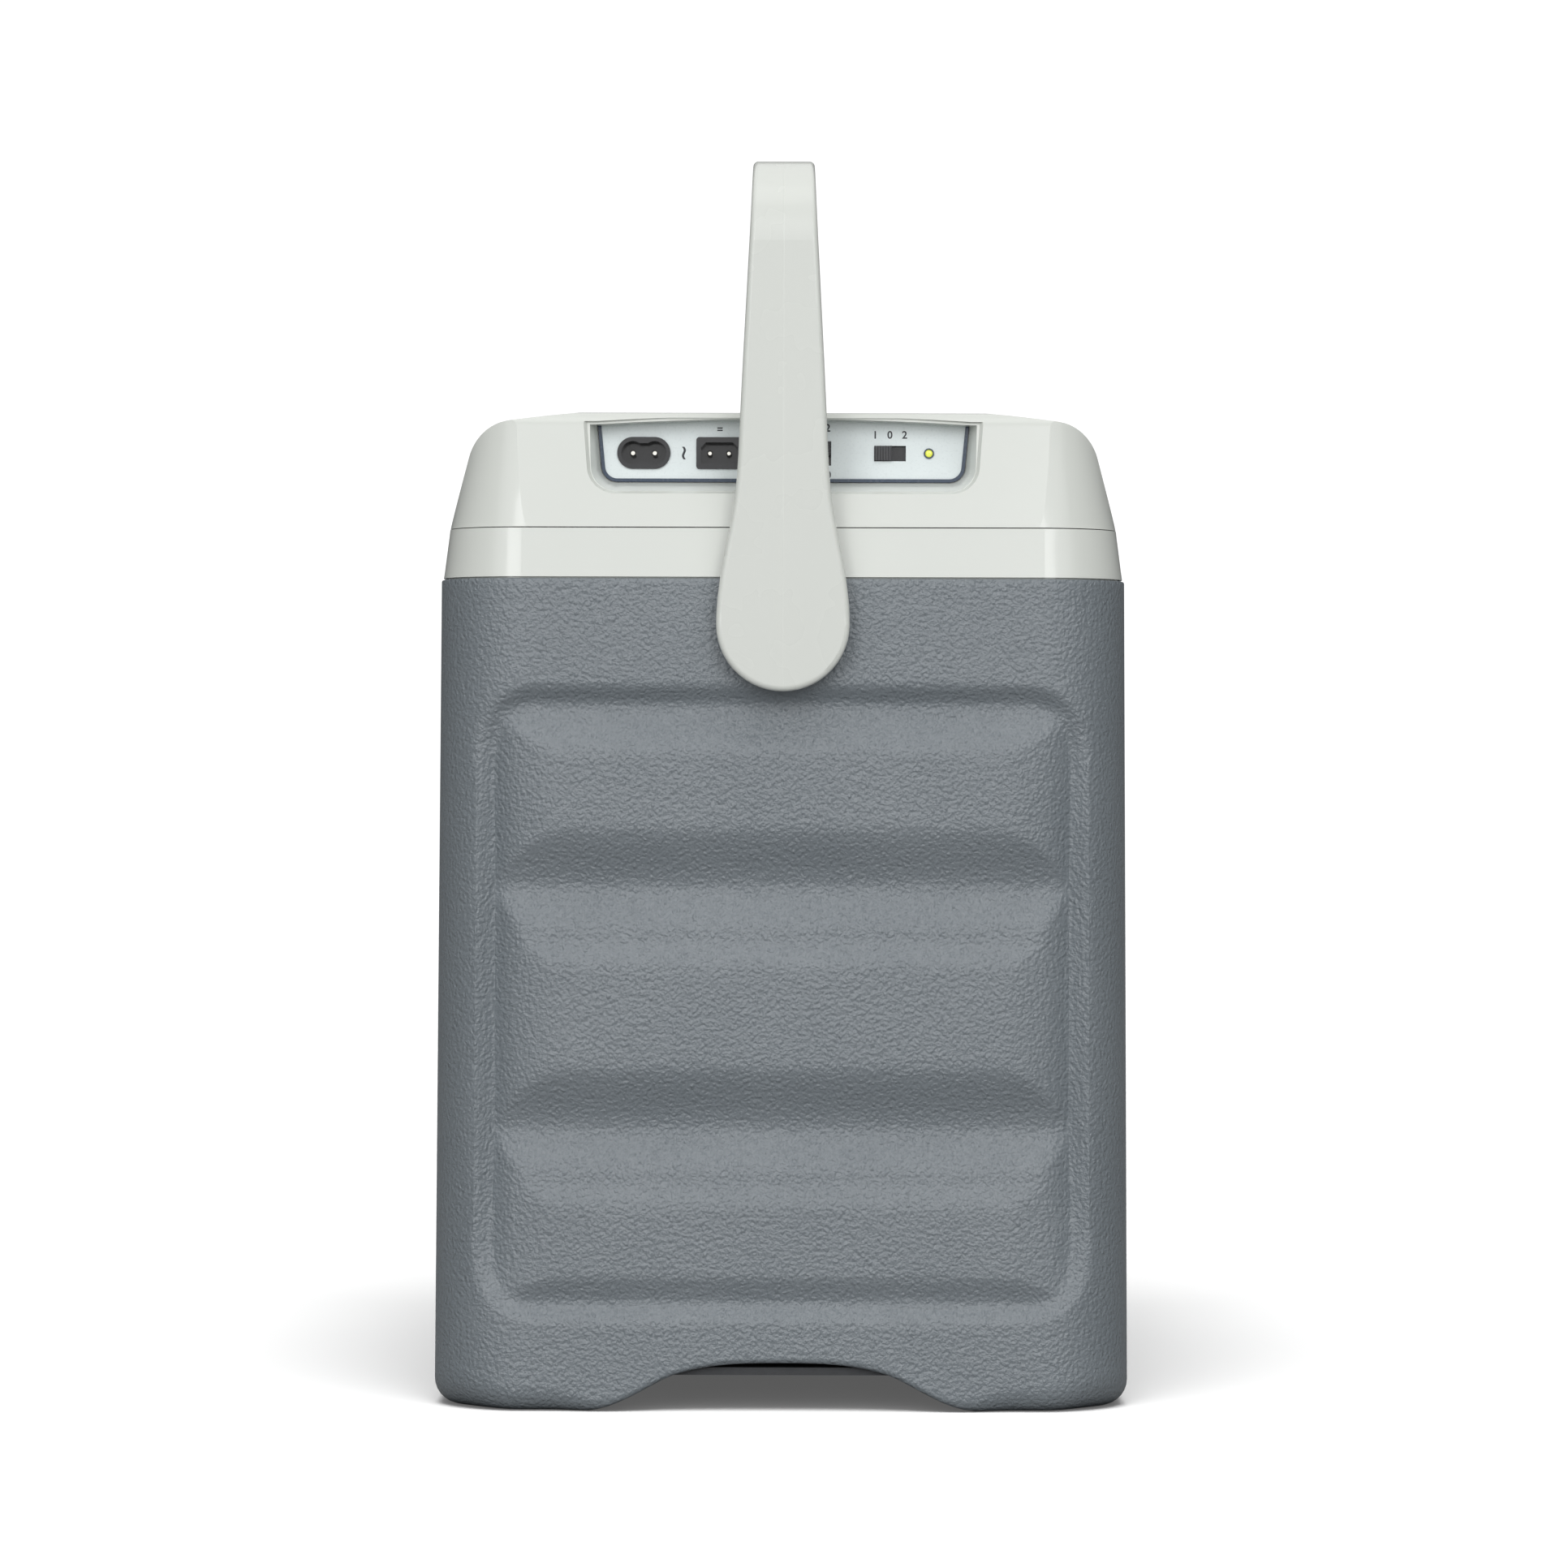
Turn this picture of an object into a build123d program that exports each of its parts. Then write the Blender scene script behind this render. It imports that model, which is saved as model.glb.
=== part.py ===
"""Thermoelectric cool box with its cooling unit in the lid, as separate pieces.

Millimetres. +Z is up, the origin is under the middle of the box on the floor, -Y is the end that
carries the control panel, and +X is the long front side with the badge.
"""
import os
from math import atan2, cos, radians, sin, tan

from build123d import *

# ---- body: a drafted shell on four feet
body_width = 270.0  # x, at the top rim
body_length = 400.0  # y, at the top rim
body_top = 324.8
body_draft = 0.35  # degrees, the body widens downwards
corner_radius = 33.0
shell_wall = 3.0
foot_edge_radius = 6.0

# ---- underside: four hollow feet round a recess that a flat plate closes
underside_z = 20.0
foot_inner_x = 76.0
foot_length_y = 80.0
arch_height = 19.0
arch_shoulder_z = 13.5
arch_shoulder_inset = 32.0
arch_foot_slope = 0.25
plate_thickness = 3.0
plate_bottom = 14.0
plate_clearance = 0.8
plate_screw_radius = 1.75
plate_screw_head_radius = 3.5
plate_boss_radius = 5.0
plate_screw_inset = 12.0  # from the edge of the plate's arm
plate_screw_end_inset = 18.0
plate_screw_side_inset = 16.0
plate_screw_clearance = 0.3
plate_screw_length = 7.0
plate_screw_head_height = 2.2

# ---- relief: a sunk field on every side, with three pillows that stand nearly flush
relief_depth = 5.0
field_bottom = 38.0
field_top = 280.0
end_field_margin = 15.2  # from the corner of the body to the field
side_field_margin = 38.0
field_radius = 22.0
pillow_side_slope = 24.5
field_rim = 5.5
field_rim_taper = 25.0
pillow_levels = (  # foot of lower slope, lower edge, upper edge, foot of upper slope
    (42.0, 53.0, 79.0, 110.0),
    (114.0, 135.0, 174.0, 205.0),
    (209.0, 229.0, 256.0, 274.5),
)

# ---- tub, foam and collar
mouth_width = body_width - 66.0
mouth_length = body_length - 66.0
mouth_radius = 24.0
tub_floor = 47.0
tub_floor_radius = 12.0
liner_wall = 2.0
liner_flange = 10.0
foam_gap = 0.4
collar_bottom = 325.8
collar_top = 345.0
collar_base_width = body_width - 1.6
collar_draft = 7.4
collar_wall = 3.0
collar_deck = 3.0
collar_seat_inset = 1.8
collar_tongue_depth = 5.0
tongue_clearance = 0.3

# ---- handle
pivot_z = 307.0
handle_top = 490.0
handle_gap = 2.2  # body to the inside of the arm
arm_thickness = 10.0
grip_thickness = 17.0
bail_radius = 34.0
disc_radius = 26.0
grip_half_width = 12.0
arm_half_width_lid = 17.0
arm_lid_z = 384.0
arm_half_width_neck = 19.0
arm_neck_z = 355.0
arm_edge_radius = 2.0
pivot_radius = 8.0
pivot_clearance = 0.08
pivot_engagement = 6.0
pivot_flange_radius = 11.0
pivot_flange_thickness = 2.4
pivot_boss_radius = 16.5
pivot_boss_height = 0.6
washer_thickness = 1.2
washer_radius = 15.5
grip_pocket_count = 8
grip_pocket_depth = 9.0
grip_rib = 2.5

# ---- badge
badge_length = 62.0
badge_height = 9.6
badge_thickness = 1.2
badge_z = 309.0

# ---- lid
seam_gap = 0.4
lid_side_half_x = body_width / 2 - 3.3
lid_side_half_y = body_length / 2 - 3.3
lid_shoulder_x = lid_side_half_x - 10.9
lid_shoulder_z = 385.6
lid_shoulder_y = lid_side_half_y - 10.2
lid_brow_z = 390.6
lid_crown = 395.0
lid_end_crown = 396.5
lid_corner_radius = 32.0
lid_corner_draft = 12.0
lid_side_fillet = 19.0
lid_end_fillet = 7.0
lid_wall = 3.0
inner_flange_gap = 1.4
inner_flange_thickness = 2.6
plug_clearance = 1.5
plug_wall = 2.5
plug_floor = 325.0
seal_inset = 12.0
seal_width = 4.0
seal_height = 1.6
lid_screw_radius = 1.6
lid_screw_head_radius = 3.2
lid_screw_length = 12.0
lid_boss_radius = 4.5
lid_screw_inset = 11.5
lid_screw_along_side = 0.68  # of the half length
lid_screw_along_end = 0.62  # of the half width
lid_screw_clearance = 0.2
lid_screw_head_clearance = 0.3

# ---- control recess in the lid's end, with the panel at its back
panel_face_y = body_length / 2 - 24.0
panel_thickness = 2.0
panel_half_bottom = 71.3
panel_half_top = 73.6
panel_bottom = 363.8
panel_top = 389.5
panel_corner_radius = 6.4
recess_draft = 15.0
recess_depth = 30.0
recess_wall = 2.5
brow_middle_z = 388.4
brow_end_z = 386.0
mouth_flare_growth = 3.6
mouth_flare_depth = 1.6
mouth_flare_taper = 40.0
mouth_flare_rise = 1.2
bezel_width = 1.3
bezel_proud = 0.5
panel_clearance = 0.2
ledge_width = 3.0

# ---- what the panel carries: centres (x, z) and sizes
fitting_z = 375.4
ac_inlet_x = -55.0
ac_flange = (21.0, 12.6)
ac_recess_radius = 4.65
ac_pin_pitch = 8.6
ac_pin_radius = 1.2
dc_inlet_x = -25.2
dc_flange = (18.2, 12.6)
dc_recess = (14.6, 8.4)
dc_pin_pitch = 7.5
dc_pin_radius = 1.1
flange_proud = 0.8
inlet_depth = 14.0
inlet_recess_depth = 10.0
inlet_flange_lip = 1.0
inlet_hole_clearance = 0.2
pin_tail = 1.5
pin_chamfer = 0.4
ac_recess_notch = 1.6
dc_flange_radius = 1.2
mode_switch_x = 42.05
mode_slot = (12.5, 6.1)
mode_knob_width = 6.9
power_switch_x = 15.8
power_slot = (6.1, 9.6)
power_knob_height = 5.4
knob_clearance = 0.3
knob_end_gap = 0.1
knob_proud = 1.1
knob_flange = 0.9
switch_body_depth = 6.0
switch_body_wall = 1.2
lamp_x = 57.4
lamp_radius = 1.5
lamp_bezel_radius = 2.05
lamp_clearance = 0.3
lamp_proud = 0.9
lamp_dome_share = 0.6

# ---- electrical parts
board_thickness = 1.6
board_left = -10.0
board_right = 66.0
board_bottom = 363.5
board_height = 21.0
supply_size = (132.0, 46.0, 26.0)
supply_y = -118.0
lead_radius = 1.2

# ---- cooling stack, from the hot fan down to the cold grille
lid_foam_top = 347.0
module_side = 40.0
module_thickness = 3.8
sink_side = 80.0
sink_base = 4.0
hot_fin_height = 15.2
fin_thickness = 1.2
fin_count = 17
spacer_bottom = 322.5
fan_side = 80.0
fan_height = 15.0
fan_bore_radius = 38.2
fan_blade_radius = 36.8
fan_hub_radius = 16.0
fan_blade_count = 7
fan_blade_thickness = 1.5
fan_blade_pitch = 36.0
fan_shaft_radius = 1.5
fan_shaft_clearance = 0.05
fan_running_gap = 0.6
fan_hole_inset = 4.5
fan_hole_radius = 2.1
sink_screw_radius = 2.0
sink_screw_head_radius = 3.5
sink_screw_offset = 29.0
sink_screw_clearance = 0.3
sink_screw_tip = 1.5
sink_screw_head_height = 2.8
housing_wall = 2.0
housing_gap = 7.0
housing_outer_radius = 8.0
housing_inner_radius = 6.0
grille_thickness = 2.4
grille_screw_radius = 1.2
grille_screw_length = 8.0
grille_screw_head_radius = 2.4
grille_screw_head_height = 1.4
grille_screw_clearance = 0.3
grille_post_radius = 3.0
grille_bar_pitch = 7.0
grille_slot_width = 4.2
vent_radius = 45.0
vent_clearance = 0.2
vent_first_ring = 12
vent_ring_pitch = 7
vent_ring = 4.0
vent_thickness = 1.6
vent_seat_z = 392.4
vent_spokes = 8

# ---- worked out from the values above
half_width = body_width / 2
half_length = body_length / 2
relief_back = relief_depth + shell_wall
collar_height = collar_top - collar_bottom
collar_base_length = body_length - (body_width - collar_base_width)
collar_inner_width = collar_base_width - 2 * (collar_height * tan(radians(collar_draft)) + collar_wall)
collar_inner_length = collar_inner_width + body_length - body_width
collar_radius = corner_radius - 1.0
lid_bottom = collar_top + seam_gap
inner_flange_top = lid_bottom + inner_flange_thickness
hot_sink_bottom = lid_foam_top + module_thickness
hot_fan_bottom = hot_sink_bottom + sink_base + hot_fin_height
cold_fan_bottom = spacer_bottom - sink_base - hot_fin_height - fan_height
housing_inner = sink_side + 2 * housing_gap
housing_outer = housing_inner + 2 * housing_wall
panel_back_y = panel_face_y - panel_thickness
arm_inner_y = half_length + handle_gap
arm_outer_y = arm_inner_y + arm_thickness
boss_face_y = half_length + pivot_boss_height
four_corners = ((1, 1), (1, -1), (-1, 1), (-1, -1))

os.makedirs("parts", exist_ok=True)


def write(piece, label):
    """Label a finished piece and write it to its own file."""
    piece.label = label
    export_step(piece, f"parts/{label}.step")


def down_plane(z):
    """A plane at height z whose extrusions run downwards."""
    return Plane(origin=(0, 0, z), x_dir=(1, 0, 0), z_dir=(0, 0, -1))


def end_plane(y, direction=-1):
    """An upright plane across the box at this distance from its middle; -1 faces the panel end."""
    return Plane(origin=(0, direction * y, 0), x_dir=(-direction, 0, 0), z_dir=(0, direction, 0))


def drafted_face_planes():
    """The four outer faces, each plane lying on the drafted wall, with the widths of their fields."""
    middle = (field_bottom + field_top) / 2
    spread = (body_top - middle) * tan(radians(body_draft))
    lean = sin(radians(body_draft))
    out = cos(radians(body_draft))
    faces = []
    end_field = body_width - 2 * end_field_margin
    side_field = body_length - 2 * side_field_margin
    for sign in (-1, 1):
        end = Plane(origin=(0, sign * (half_length + spread), middle), x_dir=(-sign, 0, 0),
                    z_dir=(0, sign * out, lean))
        side = Plane(origin=(sign * (half_width + spread), 0, middle), x_dir=(0, sign, 0),
                     z_dir=(sign * out, 0, lean))
        faces.append((end, end_field))
        faces.append((side, side_field))
    return faces


def pillow(plane, width, level, depth, shrink):
    """One pillow as a frustum that stands on the field's floor, at this depth behind its top."""
    middle = (field_bottom + field_top) / 2
    foot_low, low, high, foot_high = level
    foot_width = width - 2 * field_rim - 2 * shrink
    top_width = foot_width - 2 * pillow_side_slope
    with BuildPart() as block:
        with BuildSketch(plane.offset(-depth)):
            with Locations((0, (foot_low + foot_high) / 2 - middle)):
                Rectangle(foot_width, foot_high - foot_low - 2 * shrink)
        with BuildSketch(plane.offset(relief_depth - depth)):
            with Locations((0, (low + high) / 2 - middle)):
                Rectangle(top_width, high - low)
        loft(ruled=True)
    return block.part


field_height = field_top - field_bottom
shell_faces = drafted_face_planes()
outer_pillows = []
inner_pillows = []
for face_plane, field_width in shell_faces:
    for pillow_level in pillow_levels:
        outer_pillows.append(pillow(face_plane, field_width, pillow_level, relief_depth, 0))
        inner_pillows.append(pillow(face_plane, field_width, pillow_level, relief_back, 1.0))

# ==== outer shell: the core is the hollow inside it, with the back of the relief standing in it
core_width = body_width - 2 * shell_wall
core_length = body_length - 2 * shell_wall
core_radius = corner_radius - shell_wall
shell_floor = underside_z + shell_wall
foot_centre_x = half_width
foot_centre_y = half_length
foot_span_x = 2 * (half_width - foot_inner_x)
foot_span_y = 2 * foot_length_y

with BuildPart() as shell_core:
    with BuildSketch(down_plane(body_top)):
        RectangleRounded(core_width, core_length, core_radius)
    extrude(amount=body_top - shell_floor, taper=-body_draft)
    for face_plane, field_width in shell_faces:
        with BuildSketch(face_plane.offset(-relief_back)):
            RectangleRounded(field_width + 2 * shell_wall, field_height + 2 * shell_wall,
                             field_radius + shell_wall)
        extrude(amount=relief_back, mode=Mode.SUBTRACT)
    add(inner_pillows)
    with BuildSketch(down_plane(shell_floor)):
        RectangleRounded(core_width, core_length, core_radius)
        with Locations(*[(sx * foot_centre_x, sy * foot_centre_y) for sx, sy in four_corners]):
            Rectangle(foot_span_x - 2 * shell_wall, foot_span_y - 2 * shell_wall, mode=Mode.INTERSECT)
    extrude(amount=shell_floor - shell_wall)


def arch_outline(half_span):
    """The arch between two feet, flaring into the floor."""
    shoulder = half_span - arch_shoulder_inset
    with BuildLine() as outline:
        Spline((-half_span, 0), (-shoulder, arch_shoulder_z), (0, arch_height),
               (shoulder, arch_shoulder_z), (half_span, 0),
               tangents=((1, arch_foot_slope), (1, -arch_foot_slope)))
        Polyline((half_span, 0), (half_span, -2), (-half_span, -2), (-half_span, 0))
    return outline.line


end_arch = arch_outline(foot_inner_x + 2)
side_arch = arch_outline(half_length - foot_length_y + 2)
plate_screw_places = []
for sx, sy in four_corners:
    plate_screw_places.append((sx * (foot_inner_x - plate_screw_inset),
                               sy * (half_length - plate_screw_end_inset)))
    plate_screw_places.append((sx * (half_width - plate_screw_side_inset),
                               sy * (half_length - foot_length_y - plate_screw_inset)))

with BuildPart() as outer_shell:
    with BuildSketch(down_plane(body_top)):
        RectangleRounded(body_width, body_length, corner_radius)
    extrude(amount=body_top, taper=-body_draft)
    fillet(outer_shell.edges().group_by(Axis.Z)[0], foot_edge_radius)
    for face_plane, field_width in shell_faces:
        with BuildSketch(face_plane):
            RectangleRounded(field_width, field_height, field_radius)
        extrude(amount=-relief_depth, taper=field_rim_taper, mode=Mode.SUBTRACT)
    add(outer_pillows)
    add(shell_core.part, mode=Mode.SUBTRACT)
    with BuildSketch(Plane.XY):
        RectangleRounded(core_width, core_length, core_radius)
        with Locations(*[(sx * foot_centre_x, sy * foot_centre_y) for sx, sy in four_corners]):
            Rectangle(foot_span_x, foot_span_y, mode=Mode.SUBTRACT)
    extrude(amount=underside_z, mode=Mode.SUBTRACT)
    with BuildSketch(Plane.XZ):
        add(end_arch)
        make_face()
    extrude(amount=body_length, both=True, mode=Mode.SUBTRACT)
    with BuildSketch(Plane.YZ):
        add(side_arch)
        make_face()
    extrude(amount=body_width, both=True, mode=Mode.SUBTRACT)
    with BuildSketch(Plane.XY.offset(plate_bottom + plate_thickness)):
        with Locations(*plate_screw_places):
            Circle(plate_boss_radius)
    extrude(amount=underside_z - plate_bottom - plate_thickness)
    with BuildSketch(Plane.XY.offset(plate_bottom)):
        with Locations(*plate_screw_places):
            Circle(plate_screw_radius)
    extrude(amount=shell_floor - plate_bottom - 1, mode=Mode.SUBTRACT)
    for sign in (-1, 1):
        with BuildSketch(end_plane(half_length - shell_wall, sign)):
            with Locations((0, pivot_z)):
                Circle(pivot_boss_radius)
        extrude(amount=shell_wall + pivot_boss_height)
        with BuildSketch(end_plane(half_length - shell_wall - 1, sign)):
            with Locations((0, pivot_z)):
                Circle(pivot_radius)
        extrude(amount=shell_wall + 3, mode=Mode.SUBTRACT)
write(outer_shell.part, "outer_shell")

# ==== bottom plate: a flat cross between the feet, screwed to bosses under the shell
with BuildPart() as bottom_plate:
    with BuildSketch(Plane.XY.offset(plate_bottom)):
        RectangleRounded(core_width - 2 * plate_clearance, core_length - 2 * plate_clearance,
                         core_radius - plate_clearance)
        with Locations(*[(sx * foot_centre_x, sy * foot_centre_y) for sx, sy in four_corners]):
            Rectangle(foot_span_x + 2 * plate_clearance, foot_span_y + 2 * plate_clearance,
                      mode=Mode.SUBTRACT)
    extrude(amount=plate_thickness)
    with BuildSketch(Plane.XY.offset(plate_bottom)):
        with Locations(*plate_screw_places):
            Circle(plate_screw_radius + plate_screw_clearance)
    extrude(amount=plate_thickness, mode=Mode.SUBTRACT)
write(bottom_plate.part, "bottom_plate")

with BuildPart() as bottom_screws:
    with Locations(*[(x, y, plate_bottom) for x, y in plate_screw_places]):
        Cylinder(plate_screw_radius, plate_screw_length, align=(Align.CENTER, Align.CENTER, Align.MIN))
        Cylinder(plate_screw_head_radius, plate_screw_head_height,
                 align=(Align.CENTER, Align.CENTER, Align.MAX))
write(bottom_screws.part, "bottom_screws")

# ==== inner tub with a flange that hangs it under the collar
tub_bottom = tub_floor - liner_wall
deck_underside = collar_top - collar_deck
flange_bottom = deck_underside - liner_wall

with BuildPart() as tub_space:
    with BuildSketch(Plane.XY.offset(tub_floor)):
        RectangleRounded(mouth_width, mouth_length, mouth_radius)
    extrude(amount=collar_top - tub_floor)
    fillet(tub_space.edges().group_by(Axis.Z)[0], tub_floor_radius)

with BuildPart() as tub_outside:
    with BuildSketch(Plane.XY.offset(tub_bottom)):
        RectangleRounded(mouth_width + 2 * liner_wall, mouth_length + 2 * liner_wall,
                         mouth_radius + liner_wall)
    extrude(amount=deck_underside - tub_bottom)
    fillet(tub_outside.edges().group_by(Axis.Z)[0], tub_floor_radius + liner_wall)

with BuildPart() as inner_liner:
    add(tub_outside.part)
    with BuildSketch(Plane.XY.offset(flange_bottom)):
        RectangleRounded(mouth_width + 2 * liner_flange, mouth_length + 2 * liner_flange,
                         mouth_radius + liner_flange)
    extrude(amount=liner_wall)
    add(tub_space.part, mode=Mode.SUBTRACT)
write(inner_liner.part, "inner_liner")

# ==== foam between the tub and the shell, resting on the shell's floor
with BuildPart() as body_foam:
    with BuildSketch(Plane.XY.offset(shell_floor)):
        RectangleRounded(body_width - 2 * (relief_back + foam_gap),
                         body_length - 2 * (relief_back + foam_gap),
                         corner_radius - relief_back)
    extrude(amount=flange_bottom - shell_floor)
    add(tub_outside.part, mode=Mode.SUBTRACT)
write(body_foam.part, "body_foam")

# ==== collar: skirt, deck, the seat that stands on the shell's rim, and a tongue inside it
collar_back_width = collar_base_width - 2 * collar_seat_inset
tongue_width = core_width - 2 * tongue_clearance

with BuildPart() as collar:
    with BuildSketch(Plane.XY.offset(collar_bottom)):
        RectangleRounded(collar_base_width, collar_base_length, collar_radius)
    extrude(amount=collar_height, taper=collar_draft)
    with BuildSketch(Plane.XY.offset(body_top)):
        RectangleRounded(collar_back_width, collar_back_width + body_length - body_width,
                         collar_radius - collar_seat_inset)
    extrude(amount=collar_bottom - body_top)
    with BuildSketch(Plane.XY.offset(body_top - collar_tongue_depth)):
        RectangleRounded(tongue_width, tongue_width + body_length - body_width,
                         core_radius - tongue_clearance)
    extrude(amount=collar_tongue_depth)
    with BuildSketch(Plane.XY.offset(body_top - collar_tongue_depth)):
        RectangleRounded(collar_inner_width, collar_inner_length, core_radius - tongue_clearance - 2)
    extrude(amount=deck_underside - body_top + collar_tongue_depth, mode=Mode.SUBTRACT)
    with BuildSketch(Plane.XY.offset(deck_underside)):
        RectangleRounded(mouth_width, mouth_length, mouth_radius)
    extrude(amount=collar_deck, mode=Mode.SUBTRACT)
write(collar.part, "collar")

# ==== handle: the bail's outline from the side, cut to its outline from the end
bail_height = handle_top - pivot_z + disc_radius
bail_middle_z = handle_top - bail_height / 2
grip_bottom = handle_top - grip_thickness

with BuildPart() as handle_blank:
    with BuildSketch(Plane.XZ):
        with BuildLine():
            Spline((grip_half_width, handle_top), (arm_half_width_lid, arm_lid_z),
                   (arm_half_width_neck, arm_neck_z), (disc_radius, pivot_z),
                   tangents=((0.03, -1), (0, -1)))
            Polyline((disc_radius, pivot_z), (0, pivot_z), (0, handle_top), (grip_half_width, handle_top))
        make_face()
        mirror(about=Plane.YZ)
        with Locations((0, pivot_z)):
            Circle(disc_radius)
    extrude(amount=arm_outer_y, both=True)

pocket_pitch = 2 * (arm_inner_y - bail_radius) / grip_pocket_count

with BuildPart() as handle:
    with BuildSketch(Plane.YZ) as bail_outside:
        with Locations((0, bail_middle_z)):
            Rectangle(2 * arm_outer_y, bail_height)
        fillet(bail_outside.vertices().group_by(Axis.Y)[-1], bail_radius)
    extrude(amount=disc_radius + 1, both=True)
    with BuildSketch(Plane.YZ) as bail_inside:
        with Locations((0, bail_middle_z - grip_thickness)):
            Rectangle(2 * arm_inner_y, bail_height)
        fillet(bail_inside.vertices().group_by(Axis.Y)[-1], bail_radius - arm_thickness)
    extrude(amount=disc_radius + 1, both=True, mode=Mode.SUBTRACT)
    add(handle_blank.part, mode=Mode.INTERSECT)
    arm_faces = handle.faces().filter_by(Axis.Y).sort_by(Axis.Y)
    fillet(arm_faces[0].edges() + arm_faces[-1].edges(), arm_edge_radius)
    with BuildSketch(Plane.XY.offset(grip_bottom)):
        with GridLocations(0, pocket_pitch, 1, grip_pocket_count):
            RectangleRounded(2 * grip_half_width - 6, pocket_pitch - grip_rib, 2)
    extrude(amount=grip_pocket_depth, mode=Mode.SUBTRACT)
    for sign in (-1, 1):
        with BuildSketch(end_plane(arm_inner_y, sign)):
            with Locations((0, pivot_z)):
                Circle(pivot_radius + pivot_clearance)
        extrude(amount=pivot_engagement + 0.5, mode=Mode.SUBTRACT)
write(handle.part, "handle")

# ==== handle pivots: a stud through each end wall, held by its flange, and a washer under the arm
for sign, place in ((-1, "front"), (1, "rear")):
    with BuildPart() as handle_pivot:
        with BuildSketch(end_plane(half_length - shell_wall, sign)):
            with Locations((0, pivot_z)):
                Circle(pivot_flange_radius)
        extrude(amount=-pivot_flange_thickness)
        with BuildSketch(end_plane(half_length - shell_wall, sign)):
            with Locations((0, pivot_z)):
                Circle(pivot_radius)
        extrude(amount=arm_inner_y + pivot_engagement - half_length + shell_wall)
        chamfer(handle_pivot.edges().sort_by(Axis.Y)[-1 if sign > 0 else 0], 0.8)
    write(handle_pivot.part, f"handle_pivot_{place}")
    with BuildPart() as pivot_washer:
        with BuildSketch(end_plane(boss_face_y, sign)):
            with Locations((0, pivot_z)):
                Circle(washer_radius)
                Circle(pivot_radius, mode=Mode.SUBTRACT)
        extrude(amount=washer_thickness)
    write(pivot_washer.part, f"pivot_washer_{place}")

# ==== badge: a blank plate on the long front side
badge_seat = Plane(origin=(half_width + (body_top - badge_z) * tan(radians(body_draft)), 0, badge_z),
                   x_dir=(0, 1, 0), z_dir=(cos(radians(body_draft)), 0, sin(radians(body_draft))))

with BuildPart() as badge:
    with BuildSketch(badge_seat):
        RectangleRounded(badge_length, badge_height, badge_height / 2 - 0.1)
    extrude(amount=badge_thickness)
    chamfer(badge.faces().sort_by(Axis.X)[-1].edges(), 0.4)
write(badge.part, "badge")


def crowned_outline(side_half, shoulder_half, shoulder_z, crown_z, radius, plane):
    """One crowned outline of the lid, upright on this plane, from the seam to the crown."""
    with BuildSketch(plane) as outline:
        with BuildLine():
            ThreePointArc((-shoulder_half, shoulder_z), (0, crown_z), (shoulder_half, shoulder_z))
            Polyline((shoulder_half, shoulder_z), (side_half, lid_bottom), (-side_half, lid_bottom),
                     (-shoulder_half, shoulder_z))
        make_face()
        fillet(outline.vertices().group_by(Axis.Y)[-1], radius)
    return outline.sketch


def lid_form(inset):
    """The lid's domed form, drawn in by an inset: two crowned outlines and a drafted corner prism."""
    end_outline = crowned_outline(lid_side_half_x - inset, lid_shoulder_x - inset, lid_shoulder_z - inset,
                                  lid_crown - inset, lid_side_fillet - inset, Plane.XZ)
    side_outline = crowned_outline(lid_side_half_y - inset, lid_shoulder_y - inset, lid_brow_z - inset,
                                   lid_end_crown - inset, lid_end_fillet - inset, Plane.YZ)
    with BuildPart() as form:
        with BuildSketch(Plane.XY.offset(lid_bottom)):
            RectangleRounded(2 * (lid_side_half_x - inset), 2 * (lid_side_half_y - inset),
                             lid_corner_radius - inset)
        extrude(amount=lid_end_crown - lid_bottom, taper=lid_corner_draft)
        extrude(end_outline, amount=body_length, both=True, mode=Mode.INTERSECT)
        extrude(side_outline, amount=body_length, both=True, mode=Mode.INTERSECT)
    return form.part


def panel_outline(growth):
    """The panel's outline on an upright plane whose origin is on the middle of the floor line."""
    low = panel_bottom - growth
    with BuildSketch() as outline:
        Polygon((-panel_half_bottom - growth, low), (panel_half_bottom + growth, low),
                (panel_half_top + growth, panel_top), (-panel_half_top - growth, panel_top), align=None)
        fillet(outline.vertices().group_by(Axis.Y)[0], panel_corner_radius + growth)
    return outline.sketch


def brow_limit(raise_by):
    """Everything below the arched brow over a recess, raised by this much."""
    reach = 3 * half_width
    end_z = brow_end_z + raise_by
    with BuildPart() as under:
        with BuildSketch(Plane.XZ):
            with BuildLine():
                ThreePointArc((-panel_half_top, end_z), (0, brow_middle_z + raise_by),
                              (panel_half_top, end_z))
                Polyline((panel_half_top, end_z), (reach, end_z), (reach, 0), (-reach, 0), (-reach, end_z),
                         (-panel_half_top, end_z))
            make_face()
        extrude(amount=body_length, both=True)
    return under.part


recess_grown_outline = panel_outline(recess_wall)
recess_floor_outline = panel_outline(0)
ledge_outline = panel_outline(-ledge_width)
recess_roof = brow_limit(0)
block_roof = brow_limit(recess_wall)

with BuildPart() as recess_space:
    for sign in (-1, 1):
        with BuildSketch(end_plane(panel_back_y, sign)):
            add(recess_floor_outline)
        extrude(amount=panel_thickness)
        with BuildSketch(end_plane(panel_face_y, sign)):
            add(recess_floor_outline)
        extrude(amount=recess_depth, taper=-recess_draft)
    add(recess_roof, mode=Mode.INTERSECT)

with BuildPart() as recess_block:
    for sign in (-1, 1):
        with BuildSketch(end_plane(panel_back_y - recess_wall, sign)):
            add(recess_grown_outline)
        extrude(amount=panel_thickness + recess_wall)
        with BuildSketch(end_plane(panel_face_y, sign)):
            add(recess_grown_outline)
        extrude(amount=recess_depth, taper=-recess_draft)
    add(block_roof, mode=Mode.INTERSECT)

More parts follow.
